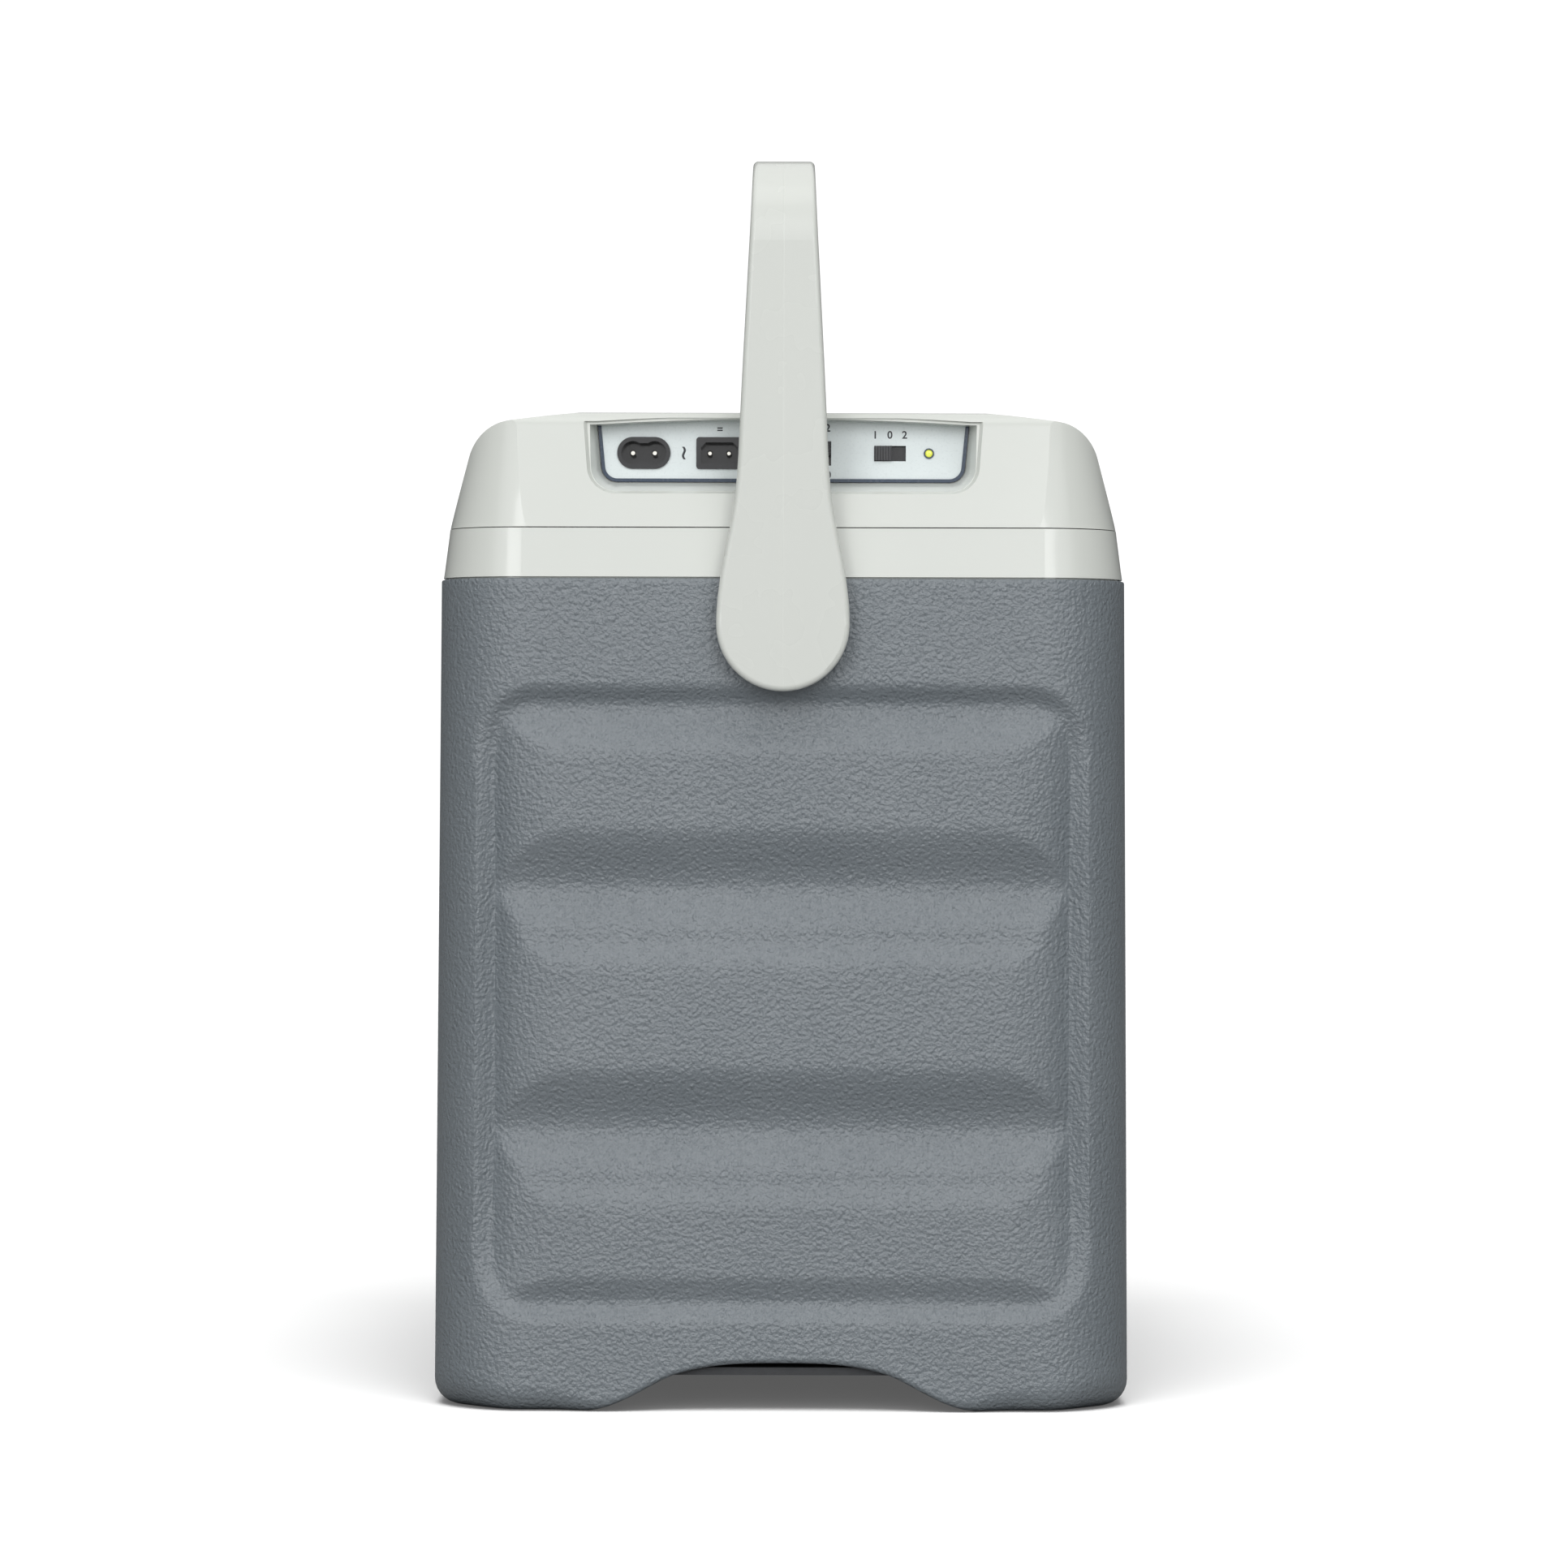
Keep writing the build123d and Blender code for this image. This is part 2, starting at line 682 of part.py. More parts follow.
lid_end_lean = atan2(lid_side_half_y - lid_shoulder_y, lid_brow_z - lid_bottom)
flare_roof = brow_limit(mouth_flare_rise)

with BuildPart() as mouth_flare:
    for sign in (-1, 1):
        lid_end = Plane(origin=(0, sign * lid_side_half_y, lid_bottom), x_dir=(-sign, 0, 0),
                        z_dir=(0, sign * cos(lid_end_lean), sin(lid_end_lean)))
        with BuildSketch(lid_end.offset(-mouth_flare_depth)):
            with Locations((0, -lid_bottom)):
                add(panel_outline(mouth_flare_growth))
        extrude(amount=3 * mouth_flare_depth, taper=-mouth_flare_taper)
    add(flare_roof, mode=Mode.INTERSECT)

lid_outside = lid_form(0)
lid_inside = lid_form(lid_wall)
lid_screw_half_x = lid_side_half_x - lid_screw_inset
lid_screw_half_y = lid_side_half_y - lid_screw_inset
lid_screw_places = []
for sx, sy in four_corners:
    lid_screw_places.append((sx * lid_screw_half_x, sy * half_length * lid_screw_along_side))
    lid_screw_places.append((sx * half_width * lid_screw_along_end, sy * lid_screw_half_y))

# ==== lid cover: the glossy dome with a recess in each end and a round vent seat in its crown
with BuildPart() as lid_hollow:
    add(lid_inside)
    add(recess_block.part, mode=Mode.SUBTRACT)
    with BuildSketch(Plane.XY.offset(inner_flange_top)):
        with Locations(*lid_screw_places):
            Circle(lid_boss_radius)
    extrude(amount=lid_end_crown - inner_flange_top, mode=Mode.SUBTRACT)

with BuildPart() as lid_cover:
    add(lid_outside)
    add(lid_hollow.part, mode=Mode.SUBTRACT)
    add(recess_space.part, mode=Mode.SUBTRACT)
    add(mouth_flare.part, mode=Mode.SUBTRACT)
    for sign in (-1, 1):
        with BuildSketch(end_plane(panel_back_y - recess_wall, sign)):
            add(ledge_outline)
        extrude(amount=recess_wall, mode=Mode.SUBTRACT)
    with BuildSketch(Plane.XY.offset(vent_seat_z)):
        Circle(vent_radius)
    extrude(amount=lid_end_crown - vent_seat_z, mode=Mode.SUBTRACT)
    with BuildSketch(down_plane(vent_seat_z)):
        Circle(vent_radius - vent_ring)
    extrude(amount=lid_wall + 2, mode=Mode.SUBTRACT)
    with BuildSketch(Plane.XY.offset(inner_flange_top)):
        with Locations(*lid_screw_places):
            Circle(lid_screw_radius)
    extrude(amount=lid_screw_length, mode=Mode.SUBTRACT)
write(lid_cover.part, "lid_cover")

# ==== inner lid: a flange that closes the cover, a plug into the tub, and the cold air housing
flange_width = 2 * (lid_side_half_x - lid_wall - inner_flange_gap)
flange_length = 2 * (lid_side_half_y - lid_wall - inner_flange_gap)
plug_width = mouth_width - 2 * plug_clearance
plug_length = mouth_length - 2 * plug_clearance
plug_radius = mouth_radius - plug_clearance
foam_width = plug_width - 2 * plug_wall
foam_length = plug_length - 2 * plug_wall
seal_outer_width = mouth_width + 2 * seal_inset
seal_outer_length = mouth_length + 2 * seal_inset
sink_screw_places = [(sx * sink_screw_offset, sy * sink_screw_offset) for sx, sy in four_corners]
grille_screw_offset = housing_inner / 2 - grille_post_radius - 0.2


def seal_ring(z, height):
    """The ring of the lid seal, as a solid from this height up."""
    with BuildPart() as ring:
        with BuildSketch(Plane.XY.offset(z)):
            RectangleRounded(seal_outer_width, seal_outer_length, mouth_radius + seal_inset)
            RectangleRounded(seal_outer_width - 2 * seal_width, seal_outer_length - 2 * seal_width,
                             mouth_radius + seal_inset - seal_width, mode=Mode.SUBTRACT)
        extrude(amount=height)
    return ring.part


lid_seal = seal_ring(collar_top, seal_height)
seal_groove = seal_ring(lid_bottom, seal_height - seam_gap)
write(lid_seal, "lid_seal")

with BuildPart() as lid_base:
    with BuildSketch(Plane.XY.offset(lid_bottom)):
        RectangleRounded(flange_width, flange_length, lid_corner_radius - lid_wall - inner_flange_gap)
    extrude(amount=inner_flange_thickness)
    with BuildSketch(down_plane(lid_bottom)):
        RectangleRounded(plug_width, plug_length, plug_radius)
    extrude(amount=lid_bottom - plug_floor)
    with BuildSketch(down_plane(plug_floor)):
        RectangleRounded(housing_outer, housing_outer, housing_outer_radius)
    extrude(amount=plug_floor - cold_fan_bottom)
    with BuildSketch(Plane.XY.offset(plug_floor + plug_wall)):
        RectangleRounded(foam_width, foam_length, plug_radius - plug_wall)
    extrude(amount=lid_crown - plug_floor, mode=Mode.SUBTRACT)
    with BuildSketch(Plane.XY.offset(cold_fan_bottom)):
        RectangleRounded(housing_inner, housing_inner, housing_inner_radius)
        with Locations(*[(sx * grille_screw_offset, sy * grille_screw_offset) for sx, sy in four_corners]):
            Circle(grille_post_radius, mode=Mode.SUBTRACT)
    extrude(amount=plug_floor - cold_fan_bottom, mode=Mode.SUBTRACT)
    with BuildSketch(Plane.XY.offset(cold_fan_bottom)):
        with Locations(*[(sx * grille_screw_offset, sy * grille_screw_offset) for sx, sy in four_corners]):
            Circle(grille_screw_radius)
    extrude(amount=grille_screw_length + 1, mode=Mode.SUBTRACT)
    with BuildSketch(Plane.XY.offset(plug_floor)):
        Rectangle(module_side + 1, module_side + 1)
        with Locations(*sink_screw_places):
            Circle(sink_screw_radius + sink_screw_clearance)
    extrude(amount=plug_wall, mode=Mode.SUBTRACT)
    with BuildSketch(Plane.XY.offset(lid_bottom)):
        with Locations(*lid_screw_places):
            Circle(lid_screw_radius + lid_screw_clearance)
    extrude(amount=inner_flange_thickness, mode=Mode.SUBTRACT)
    with BuildSketch(Plane.XY.offset(lid_bottom)):
        with Locations(*lid_screw_places):
            Circle(lid_screw_head_radius + lid_screw_head_clearance)
    extrude(amount=inner_flange_thickness / 2, mode=Mode.SUBTRACT)
    add(seal_groove, mode=Mode.SUBTRACT)
write(lid_base.part, "lid_base")

lid_screw_seat = lid_bottom + inner_flange_thickness / 2
with BuildPart() as lid_screws:
    with Locations(*[(x, y, lid_screw_seat) for x, y in lid_screw_places]):
        Cylinder(lid_screw_radius, inner_flange_thickness / 2 + lid_screw_length - 1,
                 align=(Align.CENTER, Align.CENTER, Align.MIN))
        Cylinder(lid_screw_head_radius, 1.1, align=(Align.CENTER, Align.CENTER, Align.MAX))
write(lid_screws.part, "lid_screws")

with BuildPart() as lid_foam:
    with BuildSketch(Plane.XY.offset(plug_floor + plug_wall)):
        RectangleRounded(foam_width, foam_length, plug_radius - plug_wall)
        Rectangle(module_side + 1, module_side + 1, mode=Mode.SUBTRACT)
        with Locations(*sink_screw_places):
            Circle(sink_screw_radius + sink_screw_clearance, mode=Mode.SUBTRACT)
    extrude(amount=lid_foam_top - plug_floor - plug_wall)
write(lid_foam.part, "lid_foam")

# ==== cooling stack: cold sink, spacer, module with its gasket, hot sink, and the clamp screws
with BuildPart() as spacer_block:
    with BuildSketch(Plane.XY.offset(spacer_bottom)):
        Rectangle(module_side, module_side)
    extrude(amount=lid_foam_top - spacer_bottom)
write(spacer_block.part, "spacer_block")

with BuildPart() as thermoelectric_module:
    with BuildSketch(Plane.XY.offset(lid_foam_top)):
        Rectangle(module_side, module_side)
    extrude(amount=module_thickness)
write(thermoelectric_module.part, "thermoelectric_module")

with BuildPart() as module_gasket:
    with BuildSketch(Plane.XY.offset(lid_foam_top)):
        Rectangle(sink_side, sink_side)
        Rectangle(module_side + 1, module_side + 1, mode=Mode.SUBTRACT)
        with Locations(*sink_screw_places):
            Circle(sink_screw_radius + sink_screw_clearance, mode=Mode.SUBTRACT)
    extrude(amount=module_thickness)
write(module_gasket.part, "module_gasket")


def heat_sink(base_z, direction, hole_radius, head_room):
    """A finned sink whose base starts at this height and whose fins point up (1) or down (-1)."""
    base = Plane(origin=(0, 0, base_z), x_dir=(1, 0, 0), z_dir=(0, 0, direction))
    fin_pitch = (sink_side - fin_thickness) / (fin_count - 1)
    with BuildPart() as sink:
        with BuildSketch(base):
            Rectangle(sink_side, sink_side)
        extrude(amount=sink_base)
        with BuildSketch(base.offset(sink_base)):
            with GridLocations(fin_pitch, 0, fin_count, 1):
                Rectangle(fin_thickness, sink_side)
        extrude(amount=hot_fin_height)
        with BuildSketch(base.offset(sink_base)):
            with Locations(*sink_screw_places):
                Circle(head_room)
        extrude(amount=hot_fin_height, mode=Mode.SUBTRACT)
        with BuildSketch(base):
            with Locations(*sink_screw_places):
                Circle(hole_radius)
        extrude(amount=sink_base, mode=Mode.SUBTRACT)
    return sink.part


hot_heat_sink = heat_sink(hot_sink_bottom, 1, sink_screw_radius + 0.2, sink_screw_head_radius + 0.6)
cold_heat_sink = heat_sink(spacer_bottom, -1, sink_screw_radius, sink_screw_radius + 0.6)
write(hot_heat_sink, "hot_heat_sink")
write(cold_heat_sink, "cold_heat_sink")

clamp_top = hot_sink_bottom + sink_base
with BuildPart() as sink_screws:
    with Locations(*[(x, y, clamp_top) for x, y in sink_screw_places]):
        Cylinder(sink_screw_radius, clamp_top - spacer_bottom + sink_base + sink_screw_tip,
                 align=(Align.CENTER, Align.CENTER, Align.MAX))
        Cylinder(sink_screw_head_radius, sink_screw_head_height,
                 align=(Align.CENTER, Align.CENTER, Align.MIN))
write(sink_screws.part, "sink_screws")


def fan(base_z, direction, name):
    """A square fan: the frame carries a shaft on four struts, and the bladed rotor runs on it."""
    base = Plane(origin=(0, 0, base_z), x_dir=(1, 0, 0), z_dir=(0, 0, direction))
    mount_thickness = 2.0
    hub_bottom = mount_thickness + fan_running_gap
    hub_height = fan_height - hub_bottom - 1.2
    shaft_top = hub_bottom + hub_height - 2.5
    blade_middle = (fan_bore_radius - 1 + fan_hub_radius) / 2
    blade_rise = hub_height - 1
    with BuildPart() as frame:
        with BuildSketch(base):
            RectangleRounded(fan_side, fan_side, 4)
            Circle(fan_bore_radius, mode=Mode.SUBTRACT)
        extrude(amount=fan_height)
        with BuildSketch(base):
            Circle(fan_hub_radius)
            with PolarLocations(0, 4, start_angle=45):
                with Locations((fan_bore_radius / 2 + 1, 0)):
                    Rectangle(fan_bore_radius + 2, 4)
        extrude(amount=mount_thickness)
        with BuildSketch(base):
            Circle(fan_shaft_radius)
        extrude(amount=shaft_top)
        with BuildSketch(base):
            with GridLocations(fan_side - 2 * fan_hole_inset, fan_side - 2 * fan_hole_inset, 2, 2):
                Circle(fan_hole_radius)
        extrude(amount=fan_height, mode=Mode.SUBTRACT)
    write(frame.part, f"{name}_frame")
    with BuildPart(base) as rotor:
        with PolarLocations(0, fan_blade_count):
            with Locations(Location((blade_middle, 0, hub_bottom + hub_height / 2),
                                    (fan_blade_pitch, 0, 0))):
                Box(fan_bore_radius - fan_hub_radius + 3, blade_rise / sin(radians(90 - fan_blade_pitch)),
                    fan_blade_thickness)
        with BuildSketch(base.offset(hub_bottom)):
            Circle(fan_blade_radius)
        extrude(amount=hub_height, mode=Mode.INTERSECT)
        with BuildSketch(base.offset(hub_bottom)):
            Circle(fan_hub_radius)
        extrude(amount=hub_height)
        with BuildSketch(base.offset(hub_bottom)):
            Circle(fan_shaft_radius + fan_shaft_clearance)
        extrude(amount=shaft_top - hub_bottom + 0.5, mode=Mode.SUBTRACT)
    write(rotor.part, f"{name}_rotor")


fan(hot_fan_bottom, 1, "hot_fan")
fan(cold_fan_bottom + fan_height, -1, "cold_fan")

# ==== grilles: the round one in the crown, the one in the rear recess, and the cold one below
with BuildPart() as top_grille:
    with BuildSketch(Plane.XY.offset(vent_seat_z)):
        Circle(vent_radius - vent_clearance)
        for ring_radius in range(vent_first_ring, int(vent_radius - vent_ring), vent_ring_pitch):
            with BuildSketch(mode=Mode.PRIVATE) as slot_ring:
                Circle(ring_radius + grille_slot_width)
                Circle(ring_radius, mode=Mode.SUBTRACT)
                with PolarLocations(0, vent_spokes // 2):
                    Rectangle(2 * vent_radius, 3, mode=Mode.SUBTRACT)
            add(slot_ring.sketch, mode=Mode.SUBTRACT)
    extrude(amount=vent_thickness)
write(top_grille.part, "top_grille")

rear_slot_count = 18
with BuildPart() as rear_grille:
    with BuildSketch(end_plane(panel_back_y, 1)):
        add(panel_outline(-panel_clearance))
        with Locations((0, (panel_bottom + brow_end_z) / 2)):
            with GridLocations(grille_bar_pitch, 0, rear_slot_count, 1):
                SlotOverall(brow_end_z - panel_bottom - 7, grille_slot_width - 1, rotation=90,
                            mode=Mode.SUBTRACT)
    extrude(amount=panel_thickness)
    add(recess_roof, mode=Mode.INTERSECT)
write(rear_grille.part, "rear_grille")

with BuildPart() as cold_grille:
    with BuildSketch(down_plane(cold_fan_bottom)):
        RectangleRounded(housing_outer, housing_outer, housing_outer_radius)
        with GridLocations(grille_bar_pitch, 0, 10, 1):
            SlotOverall(fan_side - 10, grille_slot_width, rotation=90, mode=Mode.SUBTRACT)
        with Locations(*[(sx * grille_screw_offset, sy * grille_screw_offset) for sx, sy in four_corners]):
            Circle(grille_screw_radius + grille_screw_clearance, mode=Mode.SUBTRACT)
    extrude(amount=grille_thickness)
write(cold_grille.part, "cold_grille")

cold_grille_bottom = cold_fan_bottom - grille_thickness
with BuildPart() as grille_screws:
    with Locations(*[(sx * grille_screw_offset, sy * grille_screw_offset, cold_grille_bottom)
                     for sx, sy in four_corners]):
        Cylinder(grille_screw_radius, grille_thickness + grille_screw_length,
                 align=(Align.CENTER, Align.CENTER, Align.MIN))
        Cylinder(grille_screw_head_radius, grille_screw_head_height,
                 align=(Align.CENTER, Align.CENTER, Align.MAX))
write(grille_screws.part, "grille_screws")

# ==== control panel and its dark bezel, set in the front recess
lamp_place = (lamp_x, fitting_z)
mode_place = (mode_switch_x, fitting_z)
power_place = (power_switch_x, fitting_z)
ac_place = (ac_inlet_x, fitting_z)
dc_place = (dc_inlet_x, fitting_z)
ac_body = (ac_flange[0] - 2 * inlet_flange_lip, ac_flange[1] - 2 * inlet_flange_lip)
dc_body = (dc_flange[0] - 2 * inlet_flange_lip, dc_flange[1] - 2 * inlet_flange_lip)

with BuildPart() as panel_bezel:
    with BuildSketch(end_plane(panel_back_y)):
        add(panel_outline(-panel_clearance))
        add(panel_outline(-panel_clearance - bezel_width), mode=Mode.SUBTRACT)
    extrude(amount=panel_thickness + bezel_proud)
    add(recess_roof, mode=Mode.INTERSECT)
write(panel_bezel.part, "panel_bezel")

with BuildPart() as control_panel:
    with BuildSketch(end_plane(panel_back_y)):
        add(panel_outline(-panel_clearance - bezel_width))
        with Locations(ac_place):
            RectangleRounded(ac_body[0] + inlet_hole_clearance, ac_body[1] + inlet_hole_clearance,
                             ac_body[1] / 2, mode=Mode.SUBTRACT)
        with Locations(dc_place):
            Rectangle(dc_body[0] + inlet_hole_clearance, dc_body[1] + inlet_hole_clearance,
                      mode=Mode.SUBTRACT)
        with Locations(mode_place):
            Rectangle(*mode_slot, mode=Mode.SUBTRACT)
        with Locations(power_place):
            Rectangle(*power_slot, mode=Mode.SUBTRACT)
        with Locations(lamp_place):
            Circle(lamp_radius + lamp_clearance, mode=Mode.SUBTRACT)
    extrude(amount=panel_thickness)
    add(recess_roof, mode=Mode.INTERSECT)
write(control_panel.part, "control_panel")

# ==== inlets: moulded housings with a blind recess and two pins each
inlet_front_y = panel_face_y + flange_proud
inlet_floor_y = inlet_front_y - inlet_recess_depth
inlet_back_y = panel_face_y - inlet_depth

with BuildPart() as ac_inlet_housing:
    with BuildSketch(end_plane(panel_face_y)):
        with Locations(ac_place):
            RectangleRounded(*ac_flange, ac_flange[1] / 2 - 0.05)
    extrude(amount=flange_proud)
    with BuildSketch(end_plane(inlet_back_y)):
        with Locations(ac_place):
            RectangleRounded(*ac_body, ac_body[1] / 2 - 0.05)
    extrude(amount=inlet_depth)
    with BuildSketch(end_plane(inlet_floor_y)):
        with Locations(ac_place):
            Rectangle(ac_pin_pitch, 2 * ac_recess_radius - ac_recess_notch)
            with GridLocations(ac_pin_pitch, 0, 2, 1):
                Circle(ac_recess_radius)
    extrude(amount=inlet_recess_depth, mode=Mode.SUBTRACT)
    with BuildSketch(end_plane(inlet_back_y)):
        with Locations(ac_place):
            with GridLocations(ac_pin_pitch, 0, 2, 1):
                Circle(ac_pin_radius)
    extrude(amount=inlet_depth, mode=Mode.SUBTRACT)
write(ac_inlet_housing.part, "ac_inlet_housing")

with BuildPart() as ac_inlet_pins:
    with BuildSketch(end_plane(inlet_back_y - 3)):
        with Locations(ac_place):
            with GridLocations(ac_pin_pitch, 0, 2, 1):
                Circle(ac_pin_radius)
    extrude(amount=inlet_depth + pin_tail)
    chamfer(ac_inlet_pins.faces().sort_by(Axis.Y)[:2].edges(), pin_chamfer)
write(ac_inlet_pins.part, "ac_inlet_pins")

with BuildPart() as dc_inlet_housing:
    with BuildSketch(end_plane(panel_face_y)):
        with Locations(dc_place):
            RectangleRounded(*dc_flange, dc_flange_radius)
    extrude(amount=flange_proud)
    with BuildSketch(end_plane(inlet_back_y)):
        with Locations(dc_place):
            Rectangle(*dc_body)
    extrude(amount=inlet_depth)
    with BuildSketch(end_plane(inlet_floor_y)) as dc_mouth:
        with Locations(dc_place):
            Rectangle(*dc_recess)
        chamfer(dc_mouth.vertices().group_by(Axis.Y)[-1], 2)
    extrude(amount=inlet_recess_depth, mode=Mode.SUBTRACT)
    with BuildSketch(end_plane(inlet_back_y)):
        with Locations(dc_place):
            with GridLocations(dc_pin_pitch, 0, 2, 1):
                Circle(dc_pin_radius)
    extrude(amount=inlet_depth, mode=Mode.SUBTRACT)
write(dc_inlet_housing.part, "dc_inlet_housing")

with BuildPart() as dc_inlet_pins:
    with BuildSketch(end_plane(inlet_back_y - 3)):
        with Locations(dc_place):
            with GridLocations(dc_pin_pitch, 0, 2, 1):
                Circle(dc_pin_radius)
    extrude(amount=inlet_depth + 0.5)
    chamfer(dc_inlet_pins.faces().sort_by(Axis.Y)[:2].edges(), pin_chamfer)
write(dc_inlet_pins.part, "dc_inlet_pins")


def slide_switch(place, slot, knob, knob_shift, name):
    """A slide switch behind the panel: an open-fronted body and a flanged knob in its slot."""
    flange = (knob[0] + 2 * knob_flange, knob[1] + 2 * knob_flange)
    travel = (slot[0] - knob[0], slot[1] - knob[1])
    cavity = (flange[0] + travel[0] + 0.2, flange[1] + travel[1] + 0.2)
    body = (cavity[0] + 2 * switch_body_wall, cavity[1] + 2 * switch_body_wall)
    knob_place = (place[0] + knob_shift[0], place[1] + knob_shift[1])
    flange_front = panel_back_y - 0.3
    flange_thickness = 1.4
    with BuildPart() as switch_body:
        with BuildSketch(end_plane(panel_back_y - switch_body_depth)):
            with Locations(place):
                Rectangle(*body)
        extrude(amount=switch_body_depth)
        with BuildSketch(end_plane(flange_front - flange_thickness - 0.3)):
            with Locations(place):
                Rectangle(*cavity)
        extrude(amount=flange_thickness + 0.6, mode=Mode.SUBTRACT)
    write(switch_body.part, f"{name}_body")
    with BuildPart() as switch_knob:
        with BuildSketch(end_plane(flange_front - flange_thickness)):
            with Locations(knob_place):
                Rectangle(*flange)
        extrude(amount=flange_thickness)
        with BuildSketch(end_plane(flange_front)):
            with Locations(knob_place):
                Rectangle(*knob)
        extrude(amount=panel_face_y + knob_proud - flange_front)
    write(switch_knob.part, f"{name}_knob")


mode_travel = mode_slot[0] - mode_knob_width - 2 * knob_end_gap
power_travel = power_slot[1] - power_knob_height - 2 * knob_end_gap
slide_switch(mode_place, mode_slot, (mode_knob_width, mode_slot[1] - 2 * knob_clearance),
             (-mode_travel / 2, 0), "mode_switch")
slide_switch(power_place, power_slot, (power_slot[0] - 2 * knob_clearance, power_knob_height),
             (0, power_travel / 2), "power_switch")

# ==== lamp: a ring on the panel round a domed lens that runs back to the board
with BuildPart() as lamp_bezel:
    with BuildSketch(end_plane(panel_face_y)):
        with Locations(lamp_place):
            Circle(lamp_bezel_radius)
            Circle(lamp_radius, mode=Mode.SUBTRACT)
    extrude(amount=0.5)
write(lamp_bezel.part, "lamp_bezel")

board_face_y = panel_back_y - switch_body_depth
with BuildPart() as lamp_lens:
    with BuildSketch(end_plane(board_face_y)):
        with Locations(lamp_place):
            Circle(lamp_radius)
    extrude(amount=panel_face_y + lamp_proud - board_face_y)
    fillet(lamp_lens.faces().sort_by(Axis.Y)[0].edges(), lamp_radius * lamp_dome_share)
write(lamp_lens.part, "lamp_lens")

# ==== control board behind the switches, power supply on the foam, and the leads between them
with BuildPart() as control_board:
    with BuildSketch(end_plane(board_face_y - board_thickness)):
        with Locations(((board_left + board_right) / 2, board_bottom + board_height / 2)):
            Rectangle(board_right - board_left, board_height)
    extrude(amount=board_thickness)
write(control_board.part, "control_board")

with BuildPart() as power_supply:
    with BuildSketch(Plane.XY.offset(lid_foam_top)):
        with Locations((0, supply_y)):
            RectangleRounded(supply_size[0], supply_size[1], 3)
    extrude(amount=supply_size[2])
write(power_supply.part, "power_supply")

supply_front_y = -supply_y + supply_size[1] / 2
supply_back_y = -supply_y - supply_size[1] / 2
lead_z = lid_foam_top + supply_size[2] - 6
board_lead_x = 50.0
module_lead_z = lid_foam_top + lead_radius + 0.4
with BuildPart() as wiring:
    with BuildSketch(end_plane(supply_front_y)):
        with Locations((ac_inlet_x, lead_z), (dc_inlet_x, lead_z)):
            with GridLocations(4, 0, 2, 1):
                Circle(lead_radius)
    extrude(amount=inlet_back_y - supply_front_y)
    with BuildSketch(end_plane(supply_front_y)):
        with Locations((board_lead_x, lead_z)):
            with GridLocations(4, 0, 2, 1):
                Circle(lead_radius)
    extrude(amount=board_face_y - board_thickness - supply_front_y)
    with BuildSketch(end_plane(sink_side / 2)):
        with Locations((0, module_lead_z)):
            with GridLocations(8, 0, 2, 1):
                Circle(lead_radius)
    extrude(amount=supply_back_y - sink_side / 2)
write(wiring.part, "wiring")
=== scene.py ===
"""Looks of a thermoelectric cool box: grained grey shell, glossy white collar, lid and bail handle."""
import math

import bmesh
import bpy
import numpy as np
from mathutils import Matrix, Vector


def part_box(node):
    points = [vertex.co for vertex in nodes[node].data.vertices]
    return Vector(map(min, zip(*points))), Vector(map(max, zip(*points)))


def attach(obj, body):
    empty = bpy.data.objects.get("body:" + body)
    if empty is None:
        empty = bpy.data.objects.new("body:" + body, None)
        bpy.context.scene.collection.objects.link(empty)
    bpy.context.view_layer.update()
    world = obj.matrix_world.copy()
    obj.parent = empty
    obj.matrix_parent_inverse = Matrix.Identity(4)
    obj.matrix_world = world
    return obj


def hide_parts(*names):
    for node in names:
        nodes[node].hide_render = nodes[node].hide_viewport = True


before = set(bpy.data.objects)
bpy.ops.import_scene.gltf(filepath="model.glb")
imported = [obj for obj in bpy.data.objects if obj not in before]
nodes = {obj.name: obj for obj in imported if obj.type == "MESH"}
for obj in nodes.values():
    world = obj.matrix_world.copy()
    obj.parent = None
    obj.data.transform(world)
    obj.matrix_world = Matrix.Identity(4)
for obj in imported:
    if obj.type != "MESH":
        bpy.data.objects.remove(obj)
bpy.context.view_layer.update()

# ---- The stage. A plain pale floor and white surroundings, lit by a broad glow in front, a tall soft
# box on each side of the camera, and soft fills from above and behind. The camera is level, a little
# over two metres from the near end.
CAMERA_DISTANCE = 2.2
CAMERA_HEIGHT = 0.245
CAMERA_ASIDE = 0.0006
CAMERA_ROLL = -0.15
LENS = 129.5
FILM_WIDTH = 36
FAR_LIMIT = 50
COLLAR_GAP = 0.001
WORLD_LIGHT = 0.10
FRONT_LIGHT = 1.25
FRONT_EDGE = -0.45
FLOOR_GLOW = 0.10
FLOOR_BOUNCE = 0.08
FLOOR_HALF = 12
FLOOR_PALE, FLOOR_PALER = (0.30, 0.30, 0.30), (0.31, 0.31, 0.31)
BOX_MIDDLE = 0.25
SOFT_BOX_HEIGHT, SOFT_BOX_WIDTH, SOFT_BOX_TALL, SOFT_BOX_POWER = 1.20, 0.62, 1.9, 12
near_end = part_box("collar")[0].y - COLLAR_GAP

camera_data = bpy.data.cameras.new("camera")
camera_data.lens = LENS
camera_data.sensor_width = FILM_WIDTH
camera_data.clip_end = FAR_LIMIT
camera = bpy.data.objects.new("camera", camera_data)
camera.location = (CAMERA_ASIDE, near_end - CAMERA_DISTANCE, CAMERA_HEIGHT)
camera.rotation_euler = (math.radians(90), math.radians(CAMERA_ROLL), 0)
bpy.context.scene.collection.objects.link(camera)
bpy.context.scene.camera = camera
bpy.context.scene.view_settings.view_transform = "Standard"


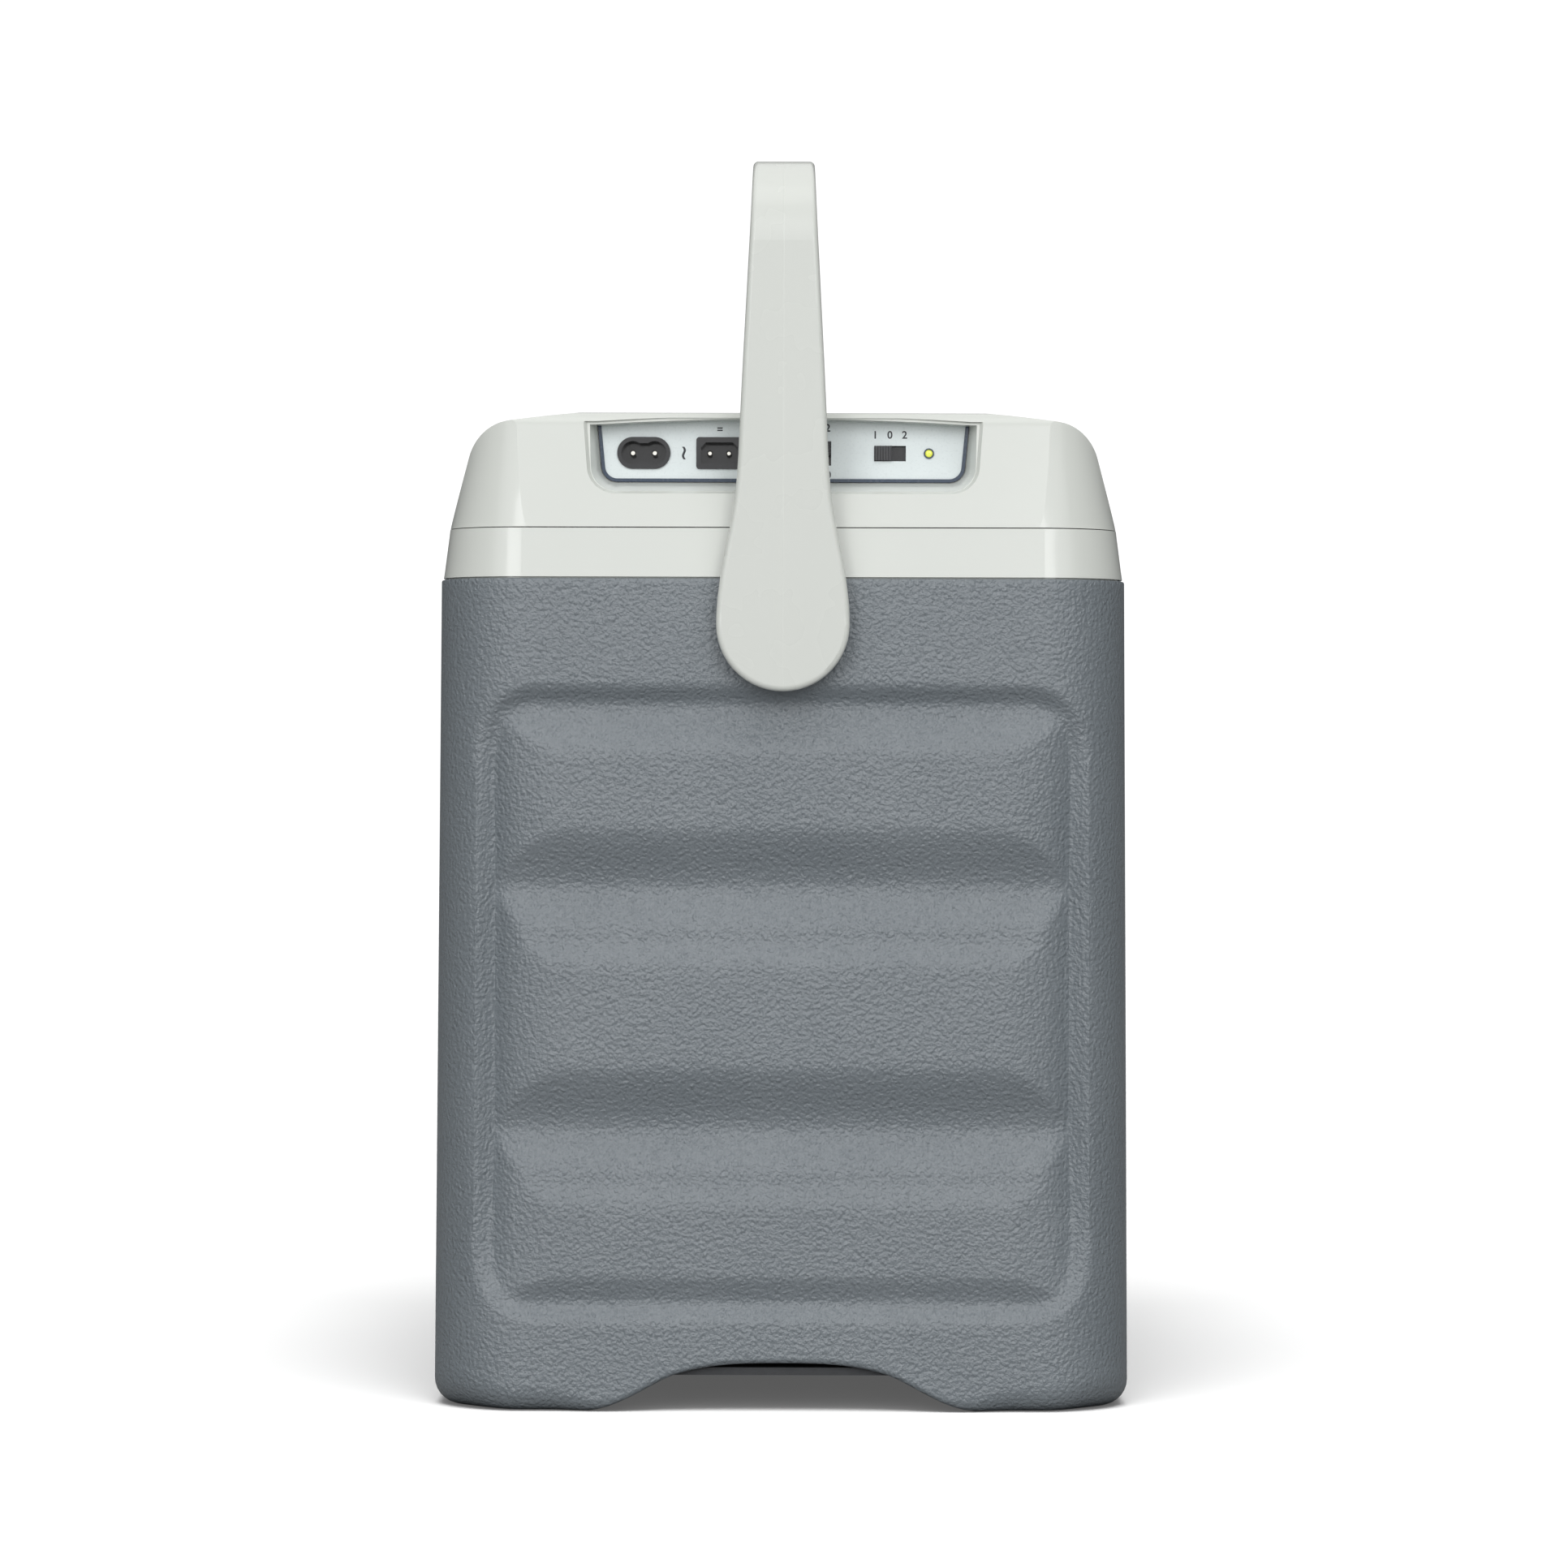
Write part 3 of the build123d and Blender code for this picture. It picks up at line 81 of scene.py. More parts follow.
class Link:
    """A shader socket that takes part in Python arithmetic."""

    def __init__(self, finish, socket):
        self.finish = finish
        self.socket = socket

    def maths(self, operation, first, second=0.0, third=0.0):
        return self.finish.node("ShaderNodeMath", {"operation": operation}, {0: first, 1: second, 2: third})

    def __add__(self, other):
        return self.maths("ADD", self, other)

    def __sub__(self, other):
        return self.maths("SUBTRACT", self, other)

    def __rsub__(self, other):
        return self.maths("SUBTRACT", other, self)

    def __mul__(self, other):
        return self.maths("MULTIPLY", self, other)

    def clipped(self, low, high):
        """0 below low, 1 above high, and smooth between."""
        ramp = {0: self, 1: low, 2: high, 3: 0.0, 4: 1.0}
        return self.finish.node("ShaderNodeMapRange", {"interpolation_type": "SMOOTHSTEP"}, ramp)

    __radd__ = __add__
    __rmul__ = __mul__


class Finish:
    """A material under construction: one surface shader and the nodes that feed it."""

    def __init__(self, name, **constants):
        self.material = bpy.data.materials.new(name)
        self.material.use_nodes = True
        self.tree = self.material.node_tree
        self.tree.nodes.clear()
        self.shader = self.tree.nodes.new("ShaderNodeBsdfPrincipled")
        self.output = self.tree.nodes.new("ShaderNodeOutputMaterial")
        self.tree.links.new(self.shader.outputs[0], self.output.inputs[0])
        for socket, value in constants.items():
            self.shader.inputs[socket.replace("_", " ")].default_value = value
        self.place = self.node("ShaderNodeTexCoord", {}, {}, "Object")

    def node(self, kind, settings, sockets, output=0):
        """One node of this kind; its settings go in first, then the values or links of its sockets."""
        made = self.tree.nodes.new(kind)
        for name, value in settings.items():
            setattr(made, name, value)
        for name, value in sockets.items():
            if isinstance(value, Link):
                self.tree.links.new(value.socket, made.inputs[name])
            elif name != 2 or len(made.inputs) > 2:
                made.inputs[name].default_value = value
        return Link(self, made.outputs[output])

    def noise(self, size, detail=2.0, roughness=0.5):
        """Smooth noise whose lumps are about this many metres across."""
        sockets = {"Vector": self.place, "Scale": 1 / size, "Detail": detail, "Roughness": roughness}
        return self.node("ShaderNodeTexNoise", {}, sockets, "Fac")

    def blend(self, factor, first, second):
        """Between two colours by a factor."""
        sockets = {0: factor, 6: (*first, 1), 7: (*second, 1)}
        return self.node("ShaderNodeMix", {"data_type": "RGBA"}, sockets, 2)

    def bump(self, height, depth, strength=1.0):
        """A bump of this depth in metres."""
        sockets = {"Height": height, "Distance": depth, "Strength": strength}
        return self.node("ShaderNodeBump", {}, sockets)

    def feed(self, **links):
        """Send links into the shader's sockets, and give the material back."""
        for socket, link in links.items():
            self.tree.links.new(link.socket, self.shader.inputs[socket.replace("_", " ")])
        return self.material


def grid_floor(half, name):
    """A level square this far from its middle to its sides."""
    mesh = bpy.data.meshes.new(name)
    corners = [(-half, -half, 0), (half, -half, 0), (half, half, 0), (-half, half, 0)]
    mesh.from_pydata(corners, [], [(0, 1, 2, 3)])
    piece = bpy.data.objects.new(name, mesh)
    bpy.context.scene.collection.objects.link(piece)
    return piece


floor = grid_floor(FLOOR_HALF, "floor")
floor_finish = Finish("pale_floor", Roughness=0.95, Specular_IOR_Level=0.0, Emission_Color=(1, 1, 1, 1),
                      Emission_Strength=FLOOR_GLOW)
floor_finish.feed(Base_Color=floor_finish.blend(floor_finish.noise(0.6), FLOOR_PALE, FLOOR_PALER))
dull = floor_finish.node("ShaderNodeBsdfDiffuse", {}, {"Color": (*[FLOOR_BOUNCE] * 3, 1)})
looked_at = floor_finish.node("ShaderNodeLightPath", {}, {}, "Is Camera Ray")
blended = floor_finish.node("ShaderNodeMixShader", {}, {0: looked_at, 1: dull})
floor_finish.tree.links.new(floor_finish.shader.outputs[0], blended.socket.node.inputs[2])
floor_finish.tree.links.new(blended.socket, floor_finish.output.inputs[0])
floor.data.materials.append(floor_finish.material)

world = bpy.data.worlds.new("studio")
world.use_nodes = True
bpy.context.scene.world = world
sky = world.node_tree
sky.nodes.clear()


def sky_node(kind, settings, sockets, output=0):
    """One node of the surroundings; the values or links of its sockets are numbered."""
    made = sky.nodes.new(kind)
    for name, value in settings.items():
        setattr(made, name, value)
    for name, value in sockets.items():
        if isinstance(value, bpy.types.NodeSocket):
            sky.links.new(value, made.inputs[name])
        else:
            made.inputs[name].default_value = value
    return made.outputs[output]


def sky_step(value, low, high):
    """0 before low and 1 past high."""
    return sky_node("ShaderNodeMapRange", {"interpolation_type": "SMOOTHSTEP"}, {0: value, 1: low, 2: high})


looking = sky_node("ShaderNodeTexCoord", {}, {})
split = sky_node("ShaderNodeSeparateXYZ", {}, {0: looking})
depth, rise = split.node.outputs[1], split.node.outputs[2]
in_front = sky_step(depth, FRONT_EDGE, -1.0)
above_floor = sky_step(rise, -0.05, 0.22)
below_ceiling = sky_step(rise, 0.80, 0.45)
band = sky_node("ShaderNodeMath", {"operation": "MULTIPLY"}, {0: above_floor, 1: below_ceiling})
glow = sky_node("ShaderNodeMath", {"operation": "MULTIPLY"}, {0: band, 1: in_front})
light = sky_node("ShaderNodeMath", {"operation": "MULTIPLY_ADD"}, {0: glow, 1: FRONT_LIGHT, 2: WORLD_LIGHT})
lighting = sky_node("ShaderNodeBackground", {}, {"Color": (0.97, 0.985, 1, 1), "Strength": light})
seen_white = sky_node("ShaderNodeBackground", {}, {"Color": (1, 1, 1, 1), "Strength": 1.1})
by_camera = sky_node("ShaderNodeLightPath", {}, {}, "Is Camera Ray")
surround = sky_node("ShaderNodeMixShader", {}, {0: by_camera, 1: lighting, 2: seen_white})
sky.links.new(surround, sky.nodes.new("ShaderNodeOutputWorld").inputs[0])


def soft_box(name, azimuth, height, distance, width, tall, power):
    """A rectangular light that looks at the middle of the box from this azimuth."""
    light = bpy.data.lights.new(name, "AREA")
    light.shape = "RECTANGLE"
    light.size = width
    light.size_y = tall
    light.energy = power
    lamp = bpy.data.objects.new(name, light)
    angle = math.radians(azimuth)
    place = Vector((math.sin(angle) * distance, -math.cos(angle) * distance, height))
    lamp.location = place
    lamp.rotation_euler = (Vector((0, 0, BOX_MIDDLE)) - place).to_track_quat("-Z", "Y").to_euler()
    bpy.context.scene.collection.objects.link(lamp)


def overhead(name, tilt, softness, strength, only=None):
    """A far soft light from above, this many degrees towards the viewer, on everything or one object."""
    light = bpy.data.lights.new(name, "SUN")
    light.energy = strength
    light.angle = math.radians(softness)
    lamp = bpy.data.objects.new(name, light)
    lamp.rotation_euler = (math.radians(-tilt), 0, 0)
    bpy.context.scene.collection.objects.link(lamp)
    if only:
        lit = bpy.data.collections.new(name + "_lit")
        lit.objects.link(only)
        lamp.light_linking.receiver_collection = lit


for name, azimuth, away in (("left_box", -18, 2.8), ("right_box", 12.5, 2.9)):
    soft_box(name, azimuth, SOFT_BOX_HEIGHT, away, SOFT_BOX_WIDTH, SOFT_BOX_TALL, SOFT_BOX_POWER)
overhead("floor_light", -25, 40, 8.6, floor)
overhead("top_fill", 12, 90, 1.3)
overhead("rear_fill", -50, 90, 1.0)

# ---- The outer shell. Injection-moulded grey polypropylene with a coarse leather grain, three
# pillows in a sunk field on each side, and four hollow feet with arches between them. The collar,
# the bottom plate and the handle's pivots are fixed to it.
TOP_RAISED = 0.0004
SHELL_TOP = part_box("outer_shell")[1].z + TOP_RAISED
WALL = 0.003
RELIEF_BACK = 0.008
CORNER = 0.033
DRAFT = math.tan(math.radians(0.35))
half_x = 0.135
half_y = 0.200
CEILING = 0.020
FOOT_INNER_X = 0.076
FOOT_INNER_Y = half_y - 0.080
ARCH_FLARE = 0.034
ARCH_SHOULDER = 0.0136
ARCH_CROWN = 0.0054
ARCH_SLOPE = 0.017
TOP_EDGE = 0.0008
CORNER_STEPS = 28
UNDER_STEPS = 7
GRAIN = 0.0016
GRAIN_DEPTH = 0.00060
GREY = (0.172, 0.196, 0.214)
GREY_PALER = (0.184, 0.208, 0.226)

FIELD_LOW, FIELD_HIGH, FIELD_CORNER = 0.034, 0.2845, 0.025
END_MARGIN = 0.0140
SIDE_MARGIN = 0.0370
RIM = 0.0060
PILLOW_SIDE = 0.033
MOAT = ((0.020, 0.0030), (0.045, 0.0034), (0.110, 0.0074), (0.150, 0.0070), (0.205, 0.0070),
        (0.276, 0.0044))
PILLOWS = ((0.0405, 0.0545, 0.0770, 0.1095, 0.0000), (0.1095, 0.1380, 0.1710, 0.2050, 0.0005),
           (0.2040, 0.2315, 0.2540, 0.2765, 0.0008))


def smooth(t):
    """0 to 1 with level ends."""
    t = np.clip(t, 0, 1)
    return t * t * (3 - 2 * t)


def planed(t, start, end):
    """0 to 1: eased over the first share, straight, then eased over the last share."""
    t = np.clip(t, 0, 1)
    slope = 1 / (1 - start / 2 - end / 2)
    rise = np.where(t < start, slope * t * t / (2 * start), slope * (t - start / 2))
    return np.where(t > 1 - end, 1 - slope * (1 - t) ** 2 / (2 * end), rise)


def softest(first, second, blur):
    """The lesser of two surfaces, rounded where they meet."""
    near = np.clip(0.5 + (second - first) / (2 * blur), 0, 1)
    return second * (1 - near) + first * near - blur * near * (1 - near)


def relief(face_half, margin, along, height):
    """How far the surface is sunk at this place on a face; less than nothing where it stands proud."""
    middle = (FIELD_LOW + FIELD_HIGH) / 2
    reach_along = face_half - margin - FIELD_CORNER
    reach_up = (FIELD_HIGH - FIELD_LOW) / 2 - FIELD_CORNER
    off_along = np.abs(along) - reach_along
    off_up = np.abs(height - middle) - reach_up
    outside = np.hypot(np.maximum(off_along, 0), np.maximum(off_up, 0))
    inward = FIELD_CORNER - outside - np.minimum(np.maximum(off_along, off_up), 0)
    moat = smooth(inward / (RIM + 0.003 * smooth((np.abs(height - middle) - 0.09) / 0.02)))
    floor_depth = np.interp(height, [place for place, depth in MOAT], [depth for place, depth in MOAT])
    side = planed((face_half - margin - RIM + 0.0008 - np.abs(along)) / PILLOW_SIDE, 0.10, 0.58)
    surface = floor_depth
    for foot_low, low, high, foot_high, proud in PILLOWS:
        rising = smooth((height - foot_low) / (low - foot_low))
        falling = smooth((foot_high - height) / (foot_high - high))
        if foot_high < 0.25:
            ledge = foot_high - 0.57 * (foot_high - high)
            falling = (0.58 * smooth((foot_high - height) / (foot_high - ledge))
                       + 0.42 * smooth((ledge - height) / (ledge - high)))
        raised = softest(softest(side, rising, 0.10), falling, 0.10)
        surface = surface - np.clip(raised, 0, 1) * (floor_depth + proud)
    return surface * moat


def arch_height(along, foot):
    """The lower edge between two feet: it flares out of the floor and rises to a flat crown."""
    shoulder = foot - ARCH_FLARE
    reach = np.abs(along)
    flare = np.clip((foot - reach) / (foot - shoulder), 0, 1)
    out_of_floor = (ARCH_SHOULDER * (3 * flare ** 2 - 2 * flare ** 3)
                    + ARCH_SLOPE * (flare ** 3 - flare ** 2))
    rise = np.clip((shoulder - reach) / shoulder, 0, 1)
    crown = ARCH_SHOULDER + ARCH_CROWN * (1 - (1 - rise) ** 3)
    return np.where(reach < shoulder, crown, np.maximum(out_of_floor, 0))


def spaced(stations):
    """Places along a run, closer together where the stations (place, spacing) ask for it."""
    places = []
    for (start, spacing), (end, _) in zip(stations, stations[1:]):
        count = max(1, int(round(abs(end - start) / spacing)))
        places += [start + (end - start) * step / count for step in range(count)]
    return places + [stations[-1][0]]


def outline():
    """Points round the shell: where each is swung from, its direction, its face (0 and 2 are the ends),
    and its distance along the face from the middle."""
    core_x = half_x - CORNER
    core_y = half_y - CORNER
    quarter = CORNER * math.pi / 2
    end_run = spaced(((-core_x, 0.0016), (-0.080, 0.0042), (0.080, 0.0016), (core_x, 1)))
    side_run = spaced(((-core_y, 0.0019), (-0.122, 0.0052), (0.122, 0.0019), (core_y, 1)))
    rows = []
    sides = (((0, -1), (1, 0), core_x, core_y, end_run), ((1, 0), (0, 1), core_y, core_x, side_run),
             ((0, 1), (-1, 0), core_x, core_y, end_run), ((-1, 0), (0, -1), core_y, core_x, side_run))
    for face, (normal, across, run, out, places) in enumerate(sides):
        normal = np.array(normal, float)
        across = np.array(across, float)
        for step in range(-CORNER_STEPS // 2, 0):
            turn = step / CORNER_STEPS * math.pi / 2
            direction = math.cos(turn) * normal + math.sin(turn) * across
            along = step / CORNER_STEPS * quarter - run
            rows.append((*(normal * out - across * run), *direction, face, along))
        for place in places:
            rows.append((*(normal * out + across * place), *normal, face, place))
        for step in range(1, CORNER_STEPS // 2):
            turn = step / CORNER_STEPS * math.pi / 2
            direction = math.cos(turn) * normal + math.sin(turn) * across
            along = step / CORNER_STEPS * quarter + run
            rows.append((*(normal * out + across * run), *direction, face, along))
    return np.array(rows)


def skin(name, loops):
    """A closed mesh through loops of equally many points, the first and last filled."""
    count = len(loops[0])
    here = np.arange(count)
    after = (here + 1) % count
    faces = []
    for ring in range(len(loops) - 1):
        base = ring * count
        above = base + count
        faces += np.stack([base + here, above + here, above + after, base + after], 1).tolist()
    faces.append(list(range(count)))
    faces.append(list(range((len(loops) - 1) * count, len(loops) * count))[::-1])
    mesh = bpy.data.meshes.new(name)
    mesh.from_pydata(np.vstack(loops).tolist(), [], faces)
    return place_piece(name, mesh)


def place_piece(name, mesh):
    """A mesh as an object at the origin."""
    piece = bpy.data.objects.new(name, mesh)
    bpy.context.scene.collection.objects.link(piece)
    return piece


def finish_mesh(piece, smooth_angle=35.0, merge=1e-6):
    """Merge doubles, turn the faces outwards, and shade smoothly up to this angle."""
    work = bmesh.new()
    work.from_mesh(piece.data)
    bmesh.ops.remove_doubles(work, verts=work.verts, dist=merge)
    bmesh.ops.recalc_face_normals(work, faces=work.faces)
    for face in work.faces:
        face.smooth = True
    for edge in work.edges:
        if len(edge.link_faces) == 2 and edge.calc_face_angle(0) > math.radians(smooth_angle):
            edge.smooth = False
    work.to_mesh(piece.data)
    work.free()
    return piece


def make_shell():
    """Rings from the shell's ceiling up inside, over the rim, down the outside, and under the feet."""
    around = outline()
    centre, direction, face, along = around[:, 0:2], around[:, 2:4], around[:, 4], around[:, 5]
    on_end = face % 2 == 0
    face_half = np.where(on_end, half_x, half_y)
    margin = np.where(on_end, END_MARGIN, SIDE_MARGIN)
    foot = np.where(on_end, FOOT_INNER_X, FOOT_INNER_Y) + 0.002
    base = np.where(np.abs(along) < foot, arch_height(along, foot), 0.0)
    on_foot = smooth((np.abs(along) - foot + 0.016) / 0.030)
    in_corner = smooth((np.abs(along) - face_half + CORNER) / (CORNER * 0.75))
    rounding = 0.0024 + 0.0076 * on_foot + 0.0040 * in_corner

    def ring(height, offset, sink=0.0):
        height = np.broadcast_to(np.asarray(height, float), face.shape)
        reach = CORNER + (SHELL_TOP - height) * DRAFT + offset - sink
        return np.column_stack([centre + direction * reach[:, None], height])

    loops = [ring(CEILING + WALL, -RELIEF_BACK), ring(FIELD_HIGH + 0.004, -RELIEF_BACK)]
    loops += [ring(FIELD_HIGH + 0.014, -WALL), ring(SHELL_TOP, -WALL), ring(SHELL_TOP, -TOP_EDGE)]
    loops += [ring(SHELL_TOP - 0.0002, -0.0002), ring(SHELL_TOP - TOP_EDGE, 0.0)]
    lower = base + rounding
    for row in spaced(((0, 0.0071), (0.125, 0.0050), (1.0, 1))):
        height = SHELL_TOP - TOP_EDGE + (lower - SHELL_TOP + TOP_EDGE) * row
        loops.append(ring(height, 0.0, relief(face_half, margin, along, height)))
    for step in range(1, UNDER_STEPS + 1):
        turn = step / UNDER_STEPS * math.pi / 2
        loops.append(ring(base + rounding * (1 - math.sin(turn)), -rounding * (1 - math.cos(turn))))
    under = ring(base, -rounding - 0.0004)
    arch_depth = CORNER - WALL
    for number, reach in enumerate(np.abs(along)):
        if reach < foot[number]:
            edge = centre[number] + direction[number] * arch_depth
            under[number, 0:2] = edge
            continue
        share = (reach - foot[number]) / (face_half[number] - CORNER + CORNER * math.pi / 4 - foot[number])
        side = np.sign(under[number, 0:2])
        corner = side * (FOOT_INNER_X, FOOT_INNER_Y)
        edge = side * ((FOOT_INNER_X, half_y - WALL) if on_end[number] else (half_x - WALL, FOOT_INNER_Y))
        under[number, 0:2] = edge + (corner - edge) * share
        under[number, 2] = 0.0
    ceiling = under.copy()
    ceiling[:, 2] = CEILING
    return finish_mesh(skin("shell", loops + [under, ceiling]), 40)


grained = Finish("grained_polypropylene", Roughness=0.40, Specular_IOR_Level=0.75)
pebble = grained.node("ShaderNodeTexVoronoi", {"feature": "SMOOTH_F1"},
                      {"Vector": grained.place, "Scale": 1 / GRAIN, "Smoothness": 0.7}, "Distance")
grain = grained.noise(GRAIN * 0.9, 2.0, 0.6) * 1.2 - pebble * 0.7
tone = grained.blend(grained.noise(0.05, 3.0).clipped(0.3, 0.7), GREY, GREY_PALER)
grained.feed(Base_Color=tone, Normal=grained.bump(grain, GRAIN_DEPTH),
             Roughness=grained.noise(GRAIN * 1.5).clipped(0.2, 0.8) * 0.10 + 0.34)

shell = make_shell()
shell.data.materials.append(grained.material)
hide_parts("outer_shell")
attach(shell, "box")

# ---- The bottom plate and its screws. A moulded plate closes the foam between the feet, held by
# eight pan-head cross-recess screws driven up into the shell. Its near-black colour is painted shade: the
# underside between the feet lies in shadow where it shows through the arches.
SCREW_HEAD = 0.0035
SCREW_HEAD_TALL = 0.0022
SCREW_SHANK = 0.00175
SCREW_SHANK_LONG = 0.0065
PLATE_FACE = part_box("bottom_plate")[0].z
BOTTOM_SCREWS = ((0.064, 0.182), (0.119, 0.108))
RECESS_REACH = 0.62
RECESS_DEPTH = 0.0011
SCREW_STEPS = 48


def dress(finish, *names):
    """Give CAD pieces this material."""
    for name in names:
        slots = nodes[name].data.materials
        slots.clear()
        slots.append(finish)


def moulded(name, colour, roughness=0.4, grain=0.0008, depth=0.00003, **more):
    """A moulded plastic: two near shades in broad clouds, and a fine grain."""
    finish = Finish(name, **more)
    other = [min(1.0, part * 1.12 + 0.004) for part in colour]
    shade = finish.blend(finish.noise(0.03, 3.0).clipped(0.3, 0.7), colour, other)
    spread = finish.noise(grain * 2).clipped(0.2, 0.8) * 0.12 + (roughness - 0.06)
    return finish.feed(Base_Color=shade, Roughness=spread,
                       Normal=finish.bump(finish.noise(grain, 3.0), depth))


def metal(name, colour, roughness=0.28, along=(1, 1, 12)):
    """A metal with fine marks drawn out across the larger of these factors."""
    finish = Finish(name, Metallic=1.0)
    drawn = finish.node("ShaderNodeVectorMath", {"operation": "MULTIPLY"}, {0: finish.place, 1: along})
    sockets = {"Vector": drawn, "Scale": 900.0, "Detail": 3.0}
    lines = finish.node("ShaderNodeTexNoise", {}, sockets, "Fac")
    shade = finish.blend(lines.clipped(0.3, 0.7), colour, [part * 0.86 for part in colour])
    return finish.feed(Base_Color=shade, Roughness=lines * 0.16 + (roughness - 0.08),
                       Normal=finish.bump(lines, 0.00002))


def lathe_down(name, rows, steps, recess=0.0):
    """A piece turned about the upright axis from (radius, height) rows, the last ones at its face; a
    cross of this half length may be sunk in the face."""
    mesh = bpy.data.meshes.new(name)
    vertices, faces = [], []
    for radius, height in rows:
        for step in range(steps):
            turn = 2 * math.pi * step / steps
            x, y = radius * math.cos(turn), radius * math.sin(turn)
            near, far = min(abs(x), abs(y)), max(abs(x), abs(y))
            sunk = recess > 0 and height < -SCREW_HEAD_TALL * 0.55 and near < recess * 0.24 and far < recess
            vertices.append((x, y, height + (RECESS_DEPTH * (1 - 0.6 * far / recess) if sunk else 0)))
    for ring in range(len(rows) - 1):
        for step in range(steps):
            after = (step + 1) % steps
            faces.append((ring * steps + step, ring * steps + after,
                          (ring + 1) * steps + after, (ring + 1) * steps + step))
    faces.append(tuple(range(steps)))
    faces.append(tuple(range((len(rows) - 1) * steps, len(rows) * steps)))
    mesh.from_pydata(vertices, [], faces)
    return finish_mesh(place_piece(name, mesh), 30)


def repeat_tree(name):
    """A node tree that sets one unit at each point, turned at random, made real and given a material."""
    tree = bpy.data.node_groups.new(name, "GeometryNodeTree")
    tree.interface.new_socket(name="Places", in_out="INPUT", socket_type="NodeSocketGeometry")
    tree.interface.new_socket(name="Unit", in_out="INPUT", socket_type="NodeSocketObject")
    tree.interface.new_socket(name="Turn", in_out="INPUT", socket_type="NodeSocketFloat")
    tree.interface.new_socket(name="Seed", in_out="INPUT", socket_type="NodeSocketInt")
    tree.interface.new_socket(name="Finish", in_out="INPUT", socket_type="NodeSocketMaterial")
    tree.interface.new_socket(name="Pieces", in_out="OUTPUT", socket_type="NodeSocketGeometry")
    inward = tree.nodes.new("NodeGroupInput")
    outward = tree.nodes.new("NodeGroupOutput")
    unit = tree.nodes.new("GeometryNodeObjectInfo")
    chance = tree.nodes.new("FunctionNodeRandomValue")
    chance.data_type = "FLOAT"
    turned = tree.nodes.new("ShaderNodeCombineXYZ")
    points = tree.nodes.new("GeometryNodeInstanceOnPoints")
    real = tree.nodes.new("GeometryNodeRealizeInstances")
    coated = tree.nodes.new("GeometryNodeSetMaterial")
    join = tree.links.new
    join(inward.outputs["Unit"], unit.inputs["Object"])
    join(inward.outputs["Turn"], chance.inputs[3])
    join(inward.outputs["Seed"], chance.inputs["Seed"])
    join(chance.outputs[1], turned.inputs["Z"])
    join(turned.outputs[0], points.inputs["Rotation"])
    join(inward.outputs["Places"], points.inputs["Points"])
    join(unit.outputs["Geometry"], points.inputs["Instance"])
    join(points.outputs[0], real.inputs[0])
    join(real.outputs[0], coated.inputs["Geometry"])
    join(inward.outputs["Finish"], coated.inputs["Material"])
    join(coated.outputs[0], outward.inputs[0])
    return tree


REPEAT = repeat_tree("repeat_unit")


def repeated(name, unit, places, finish, turn=0.0, seed=7):
    """One mesh of a unit set at every place; the unit itself is taken away."""
    seat = bpy.data.meshes.new(name + "_places")
    seat.from_pydata([tuple(place) for place in places], [], [])
    seat.materials.append(finish)
    holder = place_piece(name + "_holder", seat)
    modifier = holder.modifiers.new("repeat", "NODES")
    modifier.node_group = REPEAT
    wanted = {"Unit": unit, "Turn": turn, "Seed": seed, "Finish": finish}
    for item in REPEAT.interface.items_tree:
        if item.in_out == "INPUT" and item.name in wanted:
            modifier[item.identifier] = wanted[item.name]
    evaluated = holder.evaluated_get(bpy.context.evaluated_depsgraph_get())
    mesh = bpy.data.meshes.new_from_object(evaluated)
    holder.modifiers.remove(modifier)
    bpy.data.objects.remove(holder)
    bpy.data.objects.remove(unit)
    mesh.name = name
    if not mesh.materials:
        mesh.materials.append(finish)
    return finish_mesh(place_piece(name, mesh), 30, 1e-7)


# Near-black plastic: on the bottom plate this colour is painted shade for the shadowed underside; the rear
# grille is black.
black_and_painted_shade = moulded("black_and_painted_shade_plastic", (0.030, 0.032, 0.035), 0.55, 0.0012, 0.00008)
dress(black_and_painted_shade, "bottom_plate")
steel = metal("zinc_plated_steel", (0.62, 0.62, 0.60), 0.34)
head_rows = [(SCREW_SHANK * 0.4, SCREW_SHANK_LONG), (SCREW_SHANK, SCREW_SHANK_LONG - 0.0012),
             (SCREW_SHANK, 0.0), (SCREW_HEAD, 0.0), (SCREW_HEAD, -SCREW_HEAD_TALL * 0.35),
             (SCREW_HEAD * 0.96, -SCREW_HEAD_TALL * 0.55)]
for share in (0.88, 0.78, 0.68, 0.62, 0.56, 0.48, 0.40, 0.32, 0.24, 0.16, 0.10, 0.05):
    head_rows.append((SCREW_HEAD * share, -SCREW_HEAD_TALL * (1 - 0.45 * (share / 0.96) ** 3)))
unit = lathe_down("bottom_screw_unit", head_rows, SCREW_STEPS, SCREW_HEAD * RECESS_REACH)
places = [(x * side, y * end, PLATE_FACE) for x, y in BOTTOM_SCREWS for side in (-1, 1) for end in (-1, 1)]
bottom_screws = repeated("bottom_screws_seen", unit, places, steel, math.pi)
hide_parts("bottom_screws")
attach(bottom_screws, "box")

# ---- The liner and the foam. A white moulded tub drops into the shell, and poured polyurethane foam
# fills the space between them.
FOAM_DARK = (0.70, 0.62, 0.42)
FOAM_PALE = (0.83, 0.77, 0.58)
LINER_WHITE = (0.74, 0.75, 0.74)
liner_white = moulded("liner_polypropylene", LINER_WHITE, 0.38, 0.0010, 0.00004)
dress(liner_white, "inner_liner")
foam = Finish("poured_foam", Roughness=0.9)
cells = foam.node("ShaderNodeTexVoronoi", {}, {"Vector": foam.place, "Scale": 700.0}, "Distance")
foam_finish = foam.feed(Base_Color=foam.blend(cells.clipped(0.1, 0.7), FOAM_DARK, FOAM_PALE),
                        Normal=foam.bump(cells + foam.noise(0.006), 0.0003))
dress(foam_finish, "body_foam")

